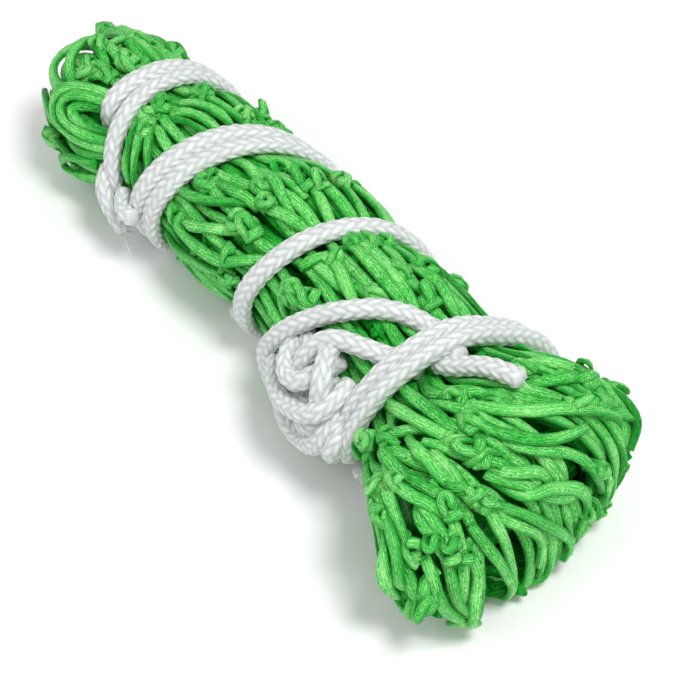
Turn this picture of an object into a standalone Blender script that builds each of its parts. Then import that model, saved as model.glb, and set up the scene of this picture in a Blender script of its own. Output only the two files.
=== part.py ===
"""Mesh ball bag, empty: a knotted net folded lengthwise into a hank and lashed with its drawcord.

+X runs along the hank from the head to the flared foot, +Z is up and the hank rests on z = 0.
An angle on the hank is 0 degrees on its +Y side, 90 on top, 180 on its -Y side and 270 underneath.
"""
import math

import bmesh
import bpy
import numpy as np
from mathutils import Matrix, Vector

# Envelope of the folded net: station X, half width, half height, centre Y, centre Z.
ENVELOPE = np.array((
    (-0.1140, 0.0190, 0.0155, -0.0030, 0.0210),
    (-0.1040, 0.0230, 0.0195, -0.0030, 0.0215),
    (-0.0920, 0.0240, 0.0215, -0.0025, 0.0220),
    (-0.0780, 0.0230, 0.0210, -0.0015, 0.0220),
    (-0.0580, 0.0245, 0.0225, -0.0018, 0.0220),
    (-0.0400, 0.0240, 0.0220, -0.0018, 0.0220),
    (-0.0150, 0.0255, 0.0235, -0.0018, 0.0230),
    (0.0050, 0.0246, 0.0230, -0.0032, 0.0225),
    (0.0240, 0.0252, 0.0240, -0.0058, 0.0235),
    (0.0420, 0.0260, 0.0235, -0.0080, 0.0230),
    (0.0580, 0.0332, 0.0260, -0.0124, 0.0250),
    (0.0720, 0.0385, 0.0270, -0.0160, 0.0260),
    (0.0800, 0.0415, 0.0255, -0.0172, 0.0247),
    (0.0860, 0.0400, 0.0230, -0.0175, 0.0225),
    (0.0910, 0.0345, 0.0185, -0.0200, 0.0185),
    (0.0940, 0.0280, 0.0130, -0.0230, 0.0140),
    (0.0962, 0.0170, 0.0070, -0.0260, 0.0085),
))
# The head's end leans: its station on the X axis, and its change with Y.
HEAD_END = (-0.1025, 0.16)
FOOT_END_X = 0.0962
# The lower half sags by this much and lies flat on the floor.
SAG = 0.0030
FLOOR_Z = 0.0

# The braided drawcord.
CORD_RADIUS = 0.0025
CORD_LIFT = -0.0014
CORD_FLOOR_Z = 0.0026
CORD_STEP = 0.0048
CORD_CLEARANCE = 0.0007
CORD_SIDES = 2
TURN_STEP_DEG = 3.0
KNOT_STEPS = 6
HITCH_STEP_DEG = 5.0
GROOVE_FULL = 0.0042
GROOVE_FADE = 0.0095

# Each turn of cord over the top: station on the -Y side, on top, and on the +Y side.
TURN_1A = (-0.0870, -0.0825, -0.0720)
TURN_1B = (-0.0780, -0.0760, -0.0655)
TURN_2A = (-0.0595, -0.0475, -0.0305)
TURN_2B = (-0.0532, -0.0412, -0.0243)
TURN_3 = (-0.0125, 0.0010, 0.0140)
TURN_4A = (0.0385, 0.0455, 0.0540)
TURN_4B = (0.0450, 0.0522, 0.0605)

# The hank flexes at two waists, on cuts that lean the way the cord winds: X = waist + lean * Y.
HEAD_WAIST = (-0.0590, 0.45)
MID_WAIST = (-0.0195, 0.56)
WAIST_GAP = 0.0004
FLEX_DEG = 12.0
FLEX_MARGIN = 1.08

# Folds of netting round an inner core.
CORE_SCALE = 0.50
FOLD_INNER_SCALE = 0.54
FOLD_GAP = 0.0005
FOLD_SHOULDER = 0.045
FOLD_STEP = 0.0045
FOLD_ARC_POINTS = 5
CORE_STEP = 0.0110
CORE_SIDES = 12
SHARP_DEG = 40.0
FOOT_ROOT_X = 0.0770
FOOT_ROOT_GAP = 0.0008
FOOT_CORE_END_X = 0.0915
FOOT_FORM_SIDES = 48
FOOT_FORM_STEP = 0.0022
FOOT_FORM_BACK = 0.0005
FOOT_WEDGE_REACH = 1.45
FOOT_WEDGE_POINTS = 6

# Loops of twine that stick out of the head: angle, root X, tip X, root scale, tip scale.
HEAD_LOOPS = {
    "head_loop_side": (193.0, -0.1085, -0.1150, 0.64, 0.74),
    "head_loop_upper": (110.0, -0.1067, -0.1150, 0.64, 0.86),
    "head_loop_back": (27.0, -0.1040, -0.1110, 0.64, 0.80),
}
LOOP_TWINE_RADIUS = 0.0019
LOOP_HALF_WIDTH = 0.0052
LOOP_POINTS = 11
LOOP_FULLNESS = 0.8

# The lashing knot on the -Y side: station, angle and lift of each length of cord's corners.
KNOT_LENGTHS = {
    "cord_lead_upper": ((0.0065, 165.0, 0.0036), (0.0150, 146.0, 0.0038), (0.0260, 124.0, 0.0036),
                        (0.0385, 106.0, 0.0034)),
    "cord_lead_lower": ((0.0190, 160.0, 0.0038), (0.0270, 142.0, 0.0036), (0.0365, 127.0, 0.0034)),
    "knot_bight": ((0.0045, 172.5, 0.0036), (0.0035, 184.0, 0.0038), (0.0055, 197.0, 0.0038),
                   (0.0095, 209.0, 0.0038), (0.0180, 216.0, 0.0038)),
}
KNOT_CENTRE = (0.0265, 187.0, 0.0058)
KNOT_HALF_SIZE = (0.0115, 0.0050, 0.0085)
LONG_END = ((0.0600, 101.0, 0.0036), (0.0680, 92.0, 0.0042), (0.0775, 84.0, 0.0050))
SHORT_END = ((0.0575, 88.5, 0.0036), (0.0635, 81.5, 0.0036))

# Angles at which the folds of each section meet, and the folds' names.
HEAD_FOLDS = (-10, 50, 105, 160, 215, 290, 350)
MID_FOLDS = (-35, 25, 85, 140, 195, 250, 325)
MAIN_FOLDS = (-15, 35, 80, 125, 170, 207, 245, 300, 345)
FOOT_FOLDS = (-20, 22, 62, 102, 142, 180, 215, 270, 340)
SECTION_FOLDS = {"head": HEAD_FOLDS, "mid": MID_FOLDS, "main": MAIN_FOLDS}

NET_GREEN = (0.045, 0.56, 0.055, 1.0)
INNER_GREEN = (0.012, 0.30, 0.018, 1.0)
CORD_WHITE = (0.86, 0.87, 0.86, 1.0)


def clear_scene():
    for obj in list(bpy.data.objects):
        bpy.data.objects.remove(obj, do_unlink=True)


def make_collection(name):
    collection = bpy.data.collections.new(name)
    bpy.context.scene.collection.children.link(collection)
    return collection


def make_material(name, colour, roughness, metallic=0.0):
    material = bpy.data.materials.new(name)
    material.use_nodes = True
    shader = material.node_tree.nodes["Principled BSDF"]
    shader.inputs["Base Color"].default_value = colour
    shader.inputs["Roughness"].default_value = roughness
    shader.inputs["Metallic"].default_value = metallic
    return material


def envelope(x):
    """Half width, half height, centre Y and centre Z of the folded net at a station."""
    return [float(np.interp(x, ENVELOPE[:, 0], ENVELOPE[:, i])) for i in range(1, 5)]


def below(half_height, sine):
    """Half height on one side of the centre: the lower half sags."""
    return half_height + (SAG if sine < 0.0 else 0.0)


def on_envelope(x, degrees, lift=0.0, floor=FLOOR_Z):
    """Point at an angle on the envelope grown by lift, kept above the floor."""
    half_width, half_height, centre_y, centre_z = envelope(x)
    angle = math.radians(degrees)
    y = centre_y + (half_width + lift) * math.cos(angle)
    sine = math.sin(angle)
    z = centre_z + (below(half_height, sine) + lift) * sine
    return Vector((x, y, max(z, floor)))


def smooth(t):
    t = min(max(t, 0.0), 1.0)
    return t * t * (3.0 - 2.0 * t)


def turn_station(turn, degrees):
    """Station of a turn of cord at an angle from 180 degrees over the top to 0."""
    left, top, right = turn
    s = (180.0 - degrees) / 180.0
    return left * (1 - s) * (1 - 2 * s) + 4 * top * s * (1 - s) + right * s * (2 * s - 1)


def turn_path(turn, start, end, x_before, x_after):
    """Stations and angles of one turn, from the start angle down to the end angle.

    Past 180 degrees the cord comes from x_before at 360, and below 0 it runs to x_after at -180.
    """
    steps = max(2, round((start - end) / TURN_STEP_DEG))
    path = []
    for degrees in np.linspace(start, end, steps + 1):
        if degrees > 180.0:
            x = turn[0] + (x_before - turn[0]) * smooth((degrees - 180.0) / 180.0)
        elif degrees < 0.0:
            x = turn[2] + (x_after - turn[2]) * smooth(-degrees / 180.0)
        else:
            x = turn_station(turn, degrees)
        path.append((x, degrees))
    return path


def waist_slack(y, lean):
    """Half the width of the cut at a waist, measured along X, that lets it flex."""
    return WAIST_GAP + abs(y) * (1 + lean * lean) * math.sin(math.radians(FLEX_DEG)) * 0.5 * FLEX_MARGIN


def distance_past(point, waist_x, lean):
    """How far a point lies on the foot side of a leaning cut, square to it."""
    return (point.x - waist_x - lean * point.y) / math.hypot(1.0, lean)


def trimmed(path, behind=None, ahead=None):
    """The part of a cord path that stays clear of the cuts behind and ahead of it."""
    kept = []
    for x, degrees in path:
        point = on_envelope(x, degrees, CORD_LIFT, CORD_FLOOR_Z)
        clear = True
        for cut, side in ((behind, 1.0), (ahead, -1.0)):
            if cut is None:
                continue
            room = CORD_RADIUS + waist_slack(point.y, cut[1]) / math.hypot(1.0, cut[1])
            clear = clear and side * distance_past(point, *cut) > room
        if clear:
            kept.append((x, degrees))
    return kept


CORD_TURNS = {
    "cord_turn_1_front": trimmed(turn_path(TURN_1A, 152, -110, TURN_1A[0], TURN_2A[0]), ahead=HEAD_WAIST),
    "cord_turn_1_rear": trimmed(turn_path(TURN_1B, 232, -110, -0.080, TURN_2B[0]), ahead=HEAD_WAIST),
    "cord_turn_2_front": trimmed(turn_path(TURN_2A, 290, -110, TURN_1A[2], TURN_3[0] - 0.0065),
                                 behind=HEAD_WAIST, ahead=MID_WAIST),
    "cord_turn_2_rear": trimmed(turn_path(TURN_2B, 290, -110, TURN_1B[2], TURN_3[0]),
                                behind=HEAD_WAIST, ahead=MID_WAIST),
    "cord_turn_3": trimmed(turn_path(TURN_3, 290, -138, TURN_2B[2], 0.034), behind=MID_WAIST),
    "cord_turn_4_front": turn_path(TURN_4A, 176, -128, 0.034, 0.046),
    "cord_turn_4_rear": turn_path(TURN_4B, 180, -128, 0.045, 0.0530),
}
CORD_SAMPLES = np.array([sample for path in CORD_TURNS.values() for sample in path])


def groove_fade(x, degrees, half_width):
    """1 right under a turn of cord, 0 well away from it."""
    apart = (CORD_SAMPLES[:, 1] - degrees + 180.0) % 360.0 - 180.0
    across = np.hypot(CORD_SAMPLES[:, 0] - x, np.radians(apart) * half_width)
    return 1.0 - smooth((float(across.min()) - GROOVE_FULL) / (GROOVE_FADE - GROOVE_FULL))


def outer_scale(x, degrees):
    """Scale of the net's outer surface on the envelope: 1, or less where the cord bites in."""
    half_width, half_height, _, centre_z = envelope(x)
    under_cord = 1.0 - (CORD_RADIUS + CORD_CLEARANCE - CORD_LIFT) / half_height
    sine = math.sin(math.radians(degrees))
    if sine < 0.0:
        room = centre_z - CORD_FLOOR_Z - CORD_RADIUS - CORD_CLEARANCE
        under_cord = min(under_cord, room / (below(half_height, sine) * -sine))
    return 1.0 + (under_cord - 1.0) * groove_fade(x, degrees, half_width)


def net_point(x, degrees, scale, shift=0.0):
    """Point at a scale of the envelope, moved sideways round it by shift."""
    half_width, half_height, centre_y, centre_z = envelope(x)
    angle = math.radians(degrees)
    y = scale * half_width * math.cos(angle) - shift * math.sin(angle)
    sine = math.sin(angle)
    z = scale * below(half_height, sine) * sine + shift * math.cos(angle)
    return Vector((x, centre_y + y, max(centre_z + z, FLOOR_Z)))


def flat_end(x):
    return lambda y: x


def leaning_end(end):
    return lambda y: end[0] + end[1] * y


def waist_end(waist, side):
    """End of a section at a leaning cut, on its head side (-1) or its foot side (1)."""
    return lambda y: waist[0] + waist[1] * y + side * waist_slack(y, waist[1])


def loft(name, rings):
    """Closed solid through rings of points that run the same way round."""
    mesh = bpy.data.meshes.new(name)
    shell = bmesh.new()
    loops = [[shell.verts.new(point) for point in ring] for ring in rings]
    count = len(loops[0])
    for ring, following in zip(loops, loops[1:]):
        for i in range(count):
            j = (i + 1) % count
            shell.faces.new((ring[i], ring[j], following[j], following[i]))
    shell.faces.new(loops[0])
    shell.faces.new(list(reversed(loops[-1])))
    bmesh.ops.triangulate(shell, faces=shell.faces[:])
    bmesh.ops.recalc_face_normals(shell, faces=shell.faces[:])
    shell.to_mesh(mesh)
    shell.free()
    mesh.shade_smooth()
    mesh.set_sharp_from_angle(angle=math.radians(SHARP_DEG))
    return bpy.data.objects.new(name, mesh)


def section_x(fraction, y, head_end, foot_end):
    return head_end(y) + fraction * (foot_end(y) - head_end(y))


def make_fold(name, start, end, head_end, foot_end, collection, material):
    """One lengthwise fold of the net: a rounded sector between two angles."""
    length = foot_end(0.0) - head_end(0.0)
    count = max(3, math.ceil(length / FOLD_STEP) + 1)
    arc = np.linspace(0.0, 1.0, FOLD_ARC_POINTS)
    rings = []
    for fraction in np.linspace(0.0, 1.0, count):
        mid_x = section_x(fraction, 0.0, head_end, foot_end)
        ring = []
        corners = [(t, True) for t in arc] + [(1.0, False), (0.5, False), (0.0, False)]
        for t, outside in corners:
            degrees = start + t * (end - start)
            half_width, _, centre_y, _ = envelope(mid_x)
            reach = half_width if outside else FOLD_INNER_SCALE * half_width
            y = centre_y + reach * math.cos(math.radians(degrees))
            x = section_x(fraction, y, head_end, foot_end)
            shift = FOLD_GAP * 0.5 * (1.0 - 2.0 * t)
            if outside:
                shoulder = FOLD_SHOULDER * (2.0 * t - 1.0) ** 2
                scale = outer_scale(x, degrees) - shoulder
            else:
                scale = FOLD_INNER_SCALE
            ring.append(net_point(x, degrees, scale, shift))
        rings.append(ring)
    fold = loft(name, rings)
    fold.data.materials.append(material)
    collection.objects.link(fold)
    return fold


def make_core(name, head_end, foot_end, collection, material):
    """The inner layers of netting that the folds lie round."""
    length = foot_end(0.0) - head_end(0.0)
    count = max(3, math.ceil(length / CORE_STEP) + 1)
    rings = []
    for fraction in np.linspace(0.0, 1.0, count):
        mid_x = section_x(fraction, 0.0, head_end, foot_end)
        half_width, _, centre_y, _ = envelope(mid_x)
        ring = []
        for i in range(CORE_SIDES):
            degrees = 360.0 * i / CORE_SIDES
            y = centre_y + CORE_SCALE * half_width * math.cos(math.radians(degrees))
            x = section_x(fraction, y, head_end, foot_end)
            ring.append(net_point(x, degrees, CORE_SCALE))
        rings.append(ring)
    core = loft(name, rings)
    core.data.materials.append(material)
    collection.objects.link(core)
    return core


def make_tube(name, points, radius, collection, material):
    """Round cord along a line of points, closed at both ends."""
    data = bpy.data.curves.new(name, "CURVE")
    data.dimensions = "3D"
    spline = data.splines.new("POLY")
    spline.points.add(len(points) - 1)
    for target, point in zip(spline.points, points):
        target.co = (point.x, point.y, point.z, 1.0)
    data.bevel_depth = radius
    data.bevel_resolution = CORD_SIDES
    data.use_fill_caps = True
    data.materials.append(material)
    tube = bpy.data.objects.new(name, data)
    collection.objects.link(tube)
    return tube


def spaced(points, step):
    """Points every step along a polyline, its two ends included."""
    lengths = [0.0]
    for before, after in zip(points, points[1:]):
        lengths.append(lengths[-1] + (after - before).length)
    count = max(2, round(lengths[-1] / step)) + 1
    places = np.linspace(0.0, lengths[-1], count)
    columns = [np.interp(places, lengths, [point[i] for point in points]) for i in range(3)]
    return [Vector(row) for row in zip(*columns)]


def cord_points(path, lift=CORD_LIFT):
    return [on_envelope(x, degrees, lift, CORD_FLOOR_Z) for x, degrees in path]


def rounded_path(corners):
    """Stations, angles and lifts eased between corners given as (x, angle, lift)."""
    path = []
    for before, after in zip(corners, corners[1:]):
        for i in range(KNOT_STEPS):
            t = i / KNOT_STEPS
            path.append(tuple(a + t * (b - a) for a, b in zip(before, after)))
    path.append(corners[-1])
    return [on_envelope(x, degrees, lift, CORD_FLOOR_Z) for x, degrees, lift in path]


def make_turns(collection, material):
    for name, path in CORD_TURNS.items():
        make_tube(name, spaced(cord_points(path), CORD_STEP), CORD_RADIUS, collection, material)


def make_knot(collection, material):
    for name, corners in KNOT_LENGTHS.items():
        points = spaced(rounded_path(corners), CORD_STEP)
        make_tube(name, points, CORD_RADIUS, collection, material)
    lump = bmesh.new()
    bmesh.ops.create_uvsphere(lump, u_segments=16, v_segments=10, radius=1.0)
    bmesh.ops.scale(lump, vec=KNOT_HALF_SIZE, verts=lump.verts[:])
    mesh = bpy.data.meshes.new("knot_hitch")
    lump.to_mesh(mesh)
    lump.free()
    mesh.shade_smooth()
    mesh.materials.append(material)
    hitch = bpy.data.objects.new("knot_hitch", mesh)
    x, degrees, lift = KNOT_CENTRE
    hitch.location = on_envelope(x, degrees, lift)
    along = on_envelope(x + CORD_STEP, degrees, lift) - on_envelope(x - CORD_STEP, degrees, lift)
    around = on_envelope(x, degrees + HITCH_STEP_DEG, lift) - on_envelope(x, degrees - HITCH_STEP_DEG, lift)
    outward = around.cross(along).normalized()
    along = outward.cross(around).normalized()
    hitch.rotation_euler = Matrix((along, outward, around.normalized())).transposed().to_euler()
    collection.objects.link(hitch)


def make_free_ends(collection, material):
    """The cord's two cut ends, each hinged where it comes out from under the last turn."""
    for name, corners in (("cord_long_end", LONG_END), ("cord_short_end", SHORT_END)):
        points = spaced(rounded_path(corners), CORD_STEP)
        pivot = points[0]
        tube = make_tube(name, [point - pivot for point in points], CORD_RADIUS, collection, material)
        tube.location = pivot


def make_head_loops(collection, material):
    """Open loops of twine at the head, each hinged at the outer side of its root."""
    for name, (degrees, root_x, tip_x, root_scale, tip_scale) in HEAD_LOOPS.items():
        angle = math.radians(degrees)
        sideways = Vector((0.0, -math.sin(angle), math.cos(angle)))
        pivot = net_point(root_x, degrees, root_scale)
        points = []
        for t in np.linspace(0.0, math.pi, LOOP_POINTS):
            reach = math.sin(t) ** LOOP_FULLNESS
            x = root_x + reach * (tip_x - root_x)
            centre = net_point(root_x, degrees, root_scale + reach * (tip_scale - root_scale))
            centre.x = x
            points.append(centre + sideways * LOOP_HALF_WIDTH * math.cos(t) - pivot)
        loop = make_tube(name, points, LOOP_TWINE_RADIUS, collection, material)
        loop.location = pivot


def make_foot_form(collection):
    """The rounded end of the foot as one hidden solid that every piece of the foot is trimmed to."""
    first = FOOT_ROOT_X - FOOT_FORM_BACK
    count = round((FOOT_END_X - first) / FOOT_FORM_STEP) + 1
    rings = []
    for x in np.linspace(first, FOOT_END_X, count):
        angles = (360.0 * i / FOOT_FORM_SIDES for i in range(FOOT_FORM_SIDES))
        rings.append([net_point(x, degrees, 1.0) for degrees in angles])
    form = loft("foot_form", rings)
    form.hide_render = True
    collection.objects.link(form)
    return form


def root_section_point(x, degrees, scale, shift):
    """Point at a scale of the foot's root section, carried straight along X to a station."""
    half_width, half_height, centre_y, centre_z = envelope(FOOT_ROOT_X)
    angle = math.radians(degrees)
    sine = math.sin(angle)
    y = scale * half_width * math.cos(angle) - shift * sine
    z = scale * below(half_height, sine) * sine + shift * math.cos(angle)
    return Vector((x, centre_y + y, centre_z + z))


def trim_to_form(name, section, end_x, form, collection, material):
    """Straight prism along X of a section, trimmed to the rounded form of the foot."""
    rings = [[root_section_point(x, *corner) for corner in section] for x in (FOOT_ROOT_X, end_x)]
    piece = loft(name, rings)
    trim = piece.modifiers.new("trim", "BOOLEAN")
    trim.operation = "INTERSECT"
    trim.solver = "EXACT"
    trim.object = form
    piece.data.materials.append(material)
    collection.objects.link(piece)


def make_foot(collection, net, inner):
    """Folds of the foot between planes that run along X, so that each can spread clear of the next."""
    form = make_foot_form(collection)
    past_end = FOOT_END_X + FOOT_FORM_STEP
    for number, (start, end) in enumerate(zip(FOOT_FOLDS, FOOT_FOLDS[1:]), 1):
        section = []
        for reach, parts in ((FOOT_WEDGE_REACH, np.linspace(0.0, 1.0, FOOT_WEDGE_POINTS)),
                             (FOLD_INNER_SCALE, np.linspace(1.0, 0.0, FOOT_WEDGE_POINTS))):
            for t in parts:
                section.append((start + t * (end - start), reach, FOLD_GAP * 0.5 * (1.0 - 2.0 * t)))
        trim_to_form(f"foot_fold_{number}", section, past_end, form, collection, net)
    section = [(360.0 * i / CORE_SIDES, CORE_SCALE, 0.0) for i in range(CORE_SIDES)]
    trim_to_form("foot_core", section, FOOT_CORE_END_X, form, collection, inner)


def make_net(collection, net, inner):
    ends = {
        "head": (leaning_end(HEAD_END), waist_end(HEAD_WAIST, -1.0)),
        "mid": (waist_end(HEAD_WAIST, 1.0), waist_end(MID_WAIST, -1.0)),
        "main": (waist_end(MID_WAIST, 1.0), flat_end(FOOT_ROOT_X - FOOT_ROOT_GAP)),
    }
    for section, meets in SECTION_FOLDS.items():
        for number, (start, end) in enumerate(zip(meets, meets[1:]), 1):
            make_fold(f"{section}_fold_{number}", start, end, *ends[section], collection, net)
        make_core(f"{section}_core", *ends[section], collection, inner)
    make_foot(collection, net, inner)


def main():
    clear_scene()
    bag = make_collection("mesh_ball_bag")
    net = make_material("net_twine", NET_GREEN, 0.42)
    inner = make_material("inner_net", INNER_GREEN, 0.55)
    cord = make_material("drawcord", CORD_WHITE, 0.55)
    make_net(bag, net, inner)
    make_turns(bag, cord)
    make_knot(bag, cord)
    make_free_ends(bag, cord)
    make_head_loops(bag, net)


main()
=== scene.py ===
import itertools
import math

import bpy
import numpy as np
from mathutils import Matrix, Vector


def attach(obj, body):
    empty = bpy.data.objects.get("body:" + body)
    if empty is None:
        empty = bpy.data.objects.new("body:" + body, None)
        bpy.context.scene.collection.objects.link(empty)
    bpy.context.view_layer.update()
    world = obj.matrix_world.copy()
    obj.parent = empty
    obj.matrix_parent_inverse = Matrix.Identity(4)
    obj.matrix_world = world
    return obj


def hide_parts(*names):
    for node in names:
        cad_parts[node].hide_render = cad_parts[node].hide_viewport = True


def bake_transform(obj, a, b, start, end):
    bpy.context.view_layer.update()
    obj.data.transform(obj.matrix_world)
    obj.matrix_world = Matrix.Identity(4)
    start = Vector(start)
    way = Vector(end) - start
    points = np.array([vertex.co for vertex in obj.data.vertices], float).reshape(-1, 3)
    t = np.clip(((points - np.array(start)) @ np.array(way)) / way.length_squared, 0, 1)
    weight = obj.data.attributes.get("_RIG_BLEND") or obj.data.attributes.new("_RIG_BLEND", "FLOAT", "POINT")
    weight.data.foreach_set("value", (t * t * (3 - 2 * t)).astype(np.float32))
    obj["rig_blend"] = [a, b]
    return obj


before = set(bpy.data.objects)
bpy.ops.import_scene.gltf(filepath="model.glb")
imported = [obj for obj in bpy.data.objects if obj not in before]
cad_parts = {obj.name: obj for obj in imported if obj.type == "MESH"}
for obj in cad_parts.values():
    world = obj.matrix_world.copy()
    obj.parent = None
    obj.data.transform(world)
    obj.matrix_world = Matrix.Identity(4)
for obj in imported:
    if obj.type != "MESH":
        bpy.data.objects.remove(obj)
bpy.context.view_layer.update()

# Lengths are in mm, and angles round the hank in degrees from +Y over the top, up to the finished pieces.
MM = 0.001
RNG = np.random.default_rng(11)

# Envelope of the folded net in mm: station X, half width, half height, centre Y, centre Z.
ENVELOPE = np.array((
    (-118.0, 15.0, 12.0, -3.0, 21.0), (-114.0, 19.0, 15.5, -3.0, 21.0), (-104.0, 23.0, 19.5, -3.0, 21.5),
    (-92.0, 24.0, 21.5, -2.5, 22.0), (-78.0, 23.0, 21.0, -1.5, 22.0), (-58.0, 24.5, 22.5, -1.8, 22.0),
    (-40.0, 24.0, 22.0, -1.8, 22.0), (-15.0, 25.5, 23.5, -1.8, 23.0), (5.0, 24.6, 23.0, -3.2, 22.5),
    (24.0, 25.2, 24.0, -5.8, 23.5), (42.0, 26.0, 23.5, -8.0, 23.0), (58.0, 33.2, 26.0, -12.4, 25.0),
    (72.0, 38.5, 27.0, -16.0, 26.0), (80.0, 41.5, 25.5, -17.2, 24.7), (86.0, 40.0, 23.0, -17.5, 22.5),
    (91.0, 34.5, 18.5, -20.0, 18.5), (94.0, 28.0, 13.0, -23.0, 14.0), (96.2, 17.0, 7.0, -26.0, 8.5),
))
SAG = 3.0
FOOT_TIP = 96.2
FLOOR_GAP = 1.25
TINY = 1e-9

# Turns of cord in mm: station on the -Y side, on top, on the +Y side.
TURN_1A = (-82.5, -83.0, -74.0)
TURN_1B = (-71.5, -77.8, -68.8)
TURN_2A = (-60.0, -48.8, -31.5)
TURN_2B = (-54.0, -42.9, -25.5)
TURN_3 = (-12.5, -1.0, 14.0)
TURN_4A = (39.4, 46.1, 55.1)
TURN_4B = (44.4, 51.1, 60.1)
CORD_LIFT = -1.4
CORD_RADIUS = 2.62

# Waists of the hank: station, lean; X = station + lean * Y.
HEAD_WAIST = (-59.0, 0.45)
MID_WAIST = (-19.5, 0.56)
SPLIT_PLANE = (-39.3, 0.505)
BLEND_HALF = 8.0
FOOT_FROM = 58.0
LOBE_SPLIT = 61.0
FOOT_FOLDS = (-20, 22, 62, 102, 142, 180, 215, 270, 340)
# How the bars of the foot fan out: angle of a bar where the fan starts, and where it meets the rim, 0 to 1.
FAN = ((0, 30, 60, 90, 110, 125, 140, 155, 170, 180),
       (0.17, 0.185, 0.21, 0.25, 0.31, 0.39, 0.50, 0.63, 0.76, 0.84))

# ------------------------------------------------------------------ surface


def smooth(t):
    t = np.clip(t, 0.0, 1.0)
    return t * t * (3.0 - 2.0 * t)


def gaussian(half, step, width):
    """Weights that sum to 1 over 2 * half + 1 samples."""
    weights = np.exp(-0.5 * (np.arange(-half, half + 1) * step / width) ** 2)
    return weights / weights.sum()


def blurred(values, weights):
    """Values smoothed along their first axis."""
    half = len(weights) // 2
    pads = [(half, half)] + [(0, 0)] * (values.ndim - 1)
    padded = np.pad(values, pads, mode="reflect", reflect_type="odd")
    return sum(weight * padded[i:i + len(values)] for i, weight in enumerate(weights))


def smooth_rows(values, width):
    """Values smoothed along their first axis over a width given in rows."""
    return blurred(values, gaussian(3 * width, 1.0, width))


def unit(vectors):
    return vectors / (np.linalg.norm(vectors, axis=-1, keepdims=True) + TINY)


def smoothed_table():
    """The envelope on a fine grid of stations, its corners rounded except at the foot's tip."""
    step, half, width = 0.4, 12, 2.2
    xs = np.arange(-122.0, FOOT_TIP + 0.01, step)
    near_tip = smooth((xs - 84.0) / 6.0)
    columns = []
    for i in range(1, 5):
        values = np.interp(xs, ENVELOPE[:, 0], ENVELOPE[:, i])
        soft = np.convolve(np.pad(values, half, mode="edge"), gaussian(half, step, width), mode="valid")
        columns.append(soft * (1 - near_tip) + values * near_tip)
    return xs, np.array(columns)


TABLE_X, TABLE = smoothed_table()


def envelope(x):
    return [np.interp(x, TABLE_X, TABLE[i]) for i in range(4)]


def on_hank(x, degrees, lift=0.0):
    """Point of the hank's envelope at a station and an angle, lifted outward; arrays are fine."""
    w, h, cy, cz = envelope(x)
    c, s = np.cos(np.radians(degrees)), np.sin(np.radians(degrees))
    y = cy + (w + lift) * c
    z = cz + (h + SAG * smooth(-s * 3.0) + lift) * s
    return np.stack([np.broadcast_to(x, np.shape(y)), y, z], -1)


def outward(points):
    """Unit vectors from the hank's middle line to the points."""
    x = np.clip(points[:, 0], -118, 96)
    _, _, cy, cz = envelope(x)
    return unit(points - np.stack([x, cy, cz], -1))


def length_along(line):
    return np.concatenate([[0.0], np.cumsum(np.linalg.norm(np.diff(line, axis=0), axis=1))])


def outline_point(f):
    """Plan point of the foot's rim: 0 is its +Y shoulder, 1 its -Y shoulder."""
    count, across = 60, 30
    xs = np.concatenate([np.linspace(62.0, FOOT_TIP, count), np.full(across, FOOT_TIP),
                         np.linspace(FOOT_TIP, 66.0, count)])
    w, _, cy, _ = envelope(xs)
    tip_y, tip_w = cy[count - 1], w[count - 1]
    ys = np.concatenate([(cy + w)[:count], np.linspace(tip_y + tip_w, tip_y - tip_w, across),
                         (cy - w)[count + across:]])
    run = length_along(np.stack([xs, ys], -1))
    at = f * run[-1]
    return np.interp(at, run, xs), np.interp(at, run, ys)


# How far the bars of the top run on under the rim, and how far every bar's end curls in towards the middle.
TUCK = 15.0
CURL = 3.0
FOOT_MIDDLE = np.array((68.0, -14.5, 20.0))
S_STEP = 0.5
S_MIN = -122.0
PHI_STEP = 4.0


def foot_path(degrees):
    """Polyline on the foot from FOOT_FROM on, for a bar that starts at this angle, and its run."""
    a = degrees % 360.0
    rx, ry = outline_point(np.interp(min(a, 360.0 - a), *FAN))
    start = on_hank(np.array([FOOT_FROM]), np.array([degrees]))[0]
    t = 1.0 - np.linspace(1.0, 0.0, 160) ** 1.6
    px = start[0] + t * (rx - start[0])
    w, h, cy, cz = envelope(px)
    c = np.clip((start[1] + t * (ry - start[1]) - cy) / w, -1.0, 1.0)
    py = cy + c * w
    root = np.sqrt(1.0 - c * c)
    under = cz - (h + SAG) * root
    if a > 180.0:
        line = np.stack([px, py, np.maximum(under, 0.2)], -1)
    else:
        back = np.stack([px, py, np.maximum(under, 1.6)], -1)[::-1]
        tuck = TUCK * min(1.0, 2.5 * math.sin(math.radians(a)))
        over = np.stack([px, py, cz + h * root], -1)
        line = np.concatenate([over, back[length_along(back) < tuck][1:]])
    return line, length_along(line)


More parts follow.
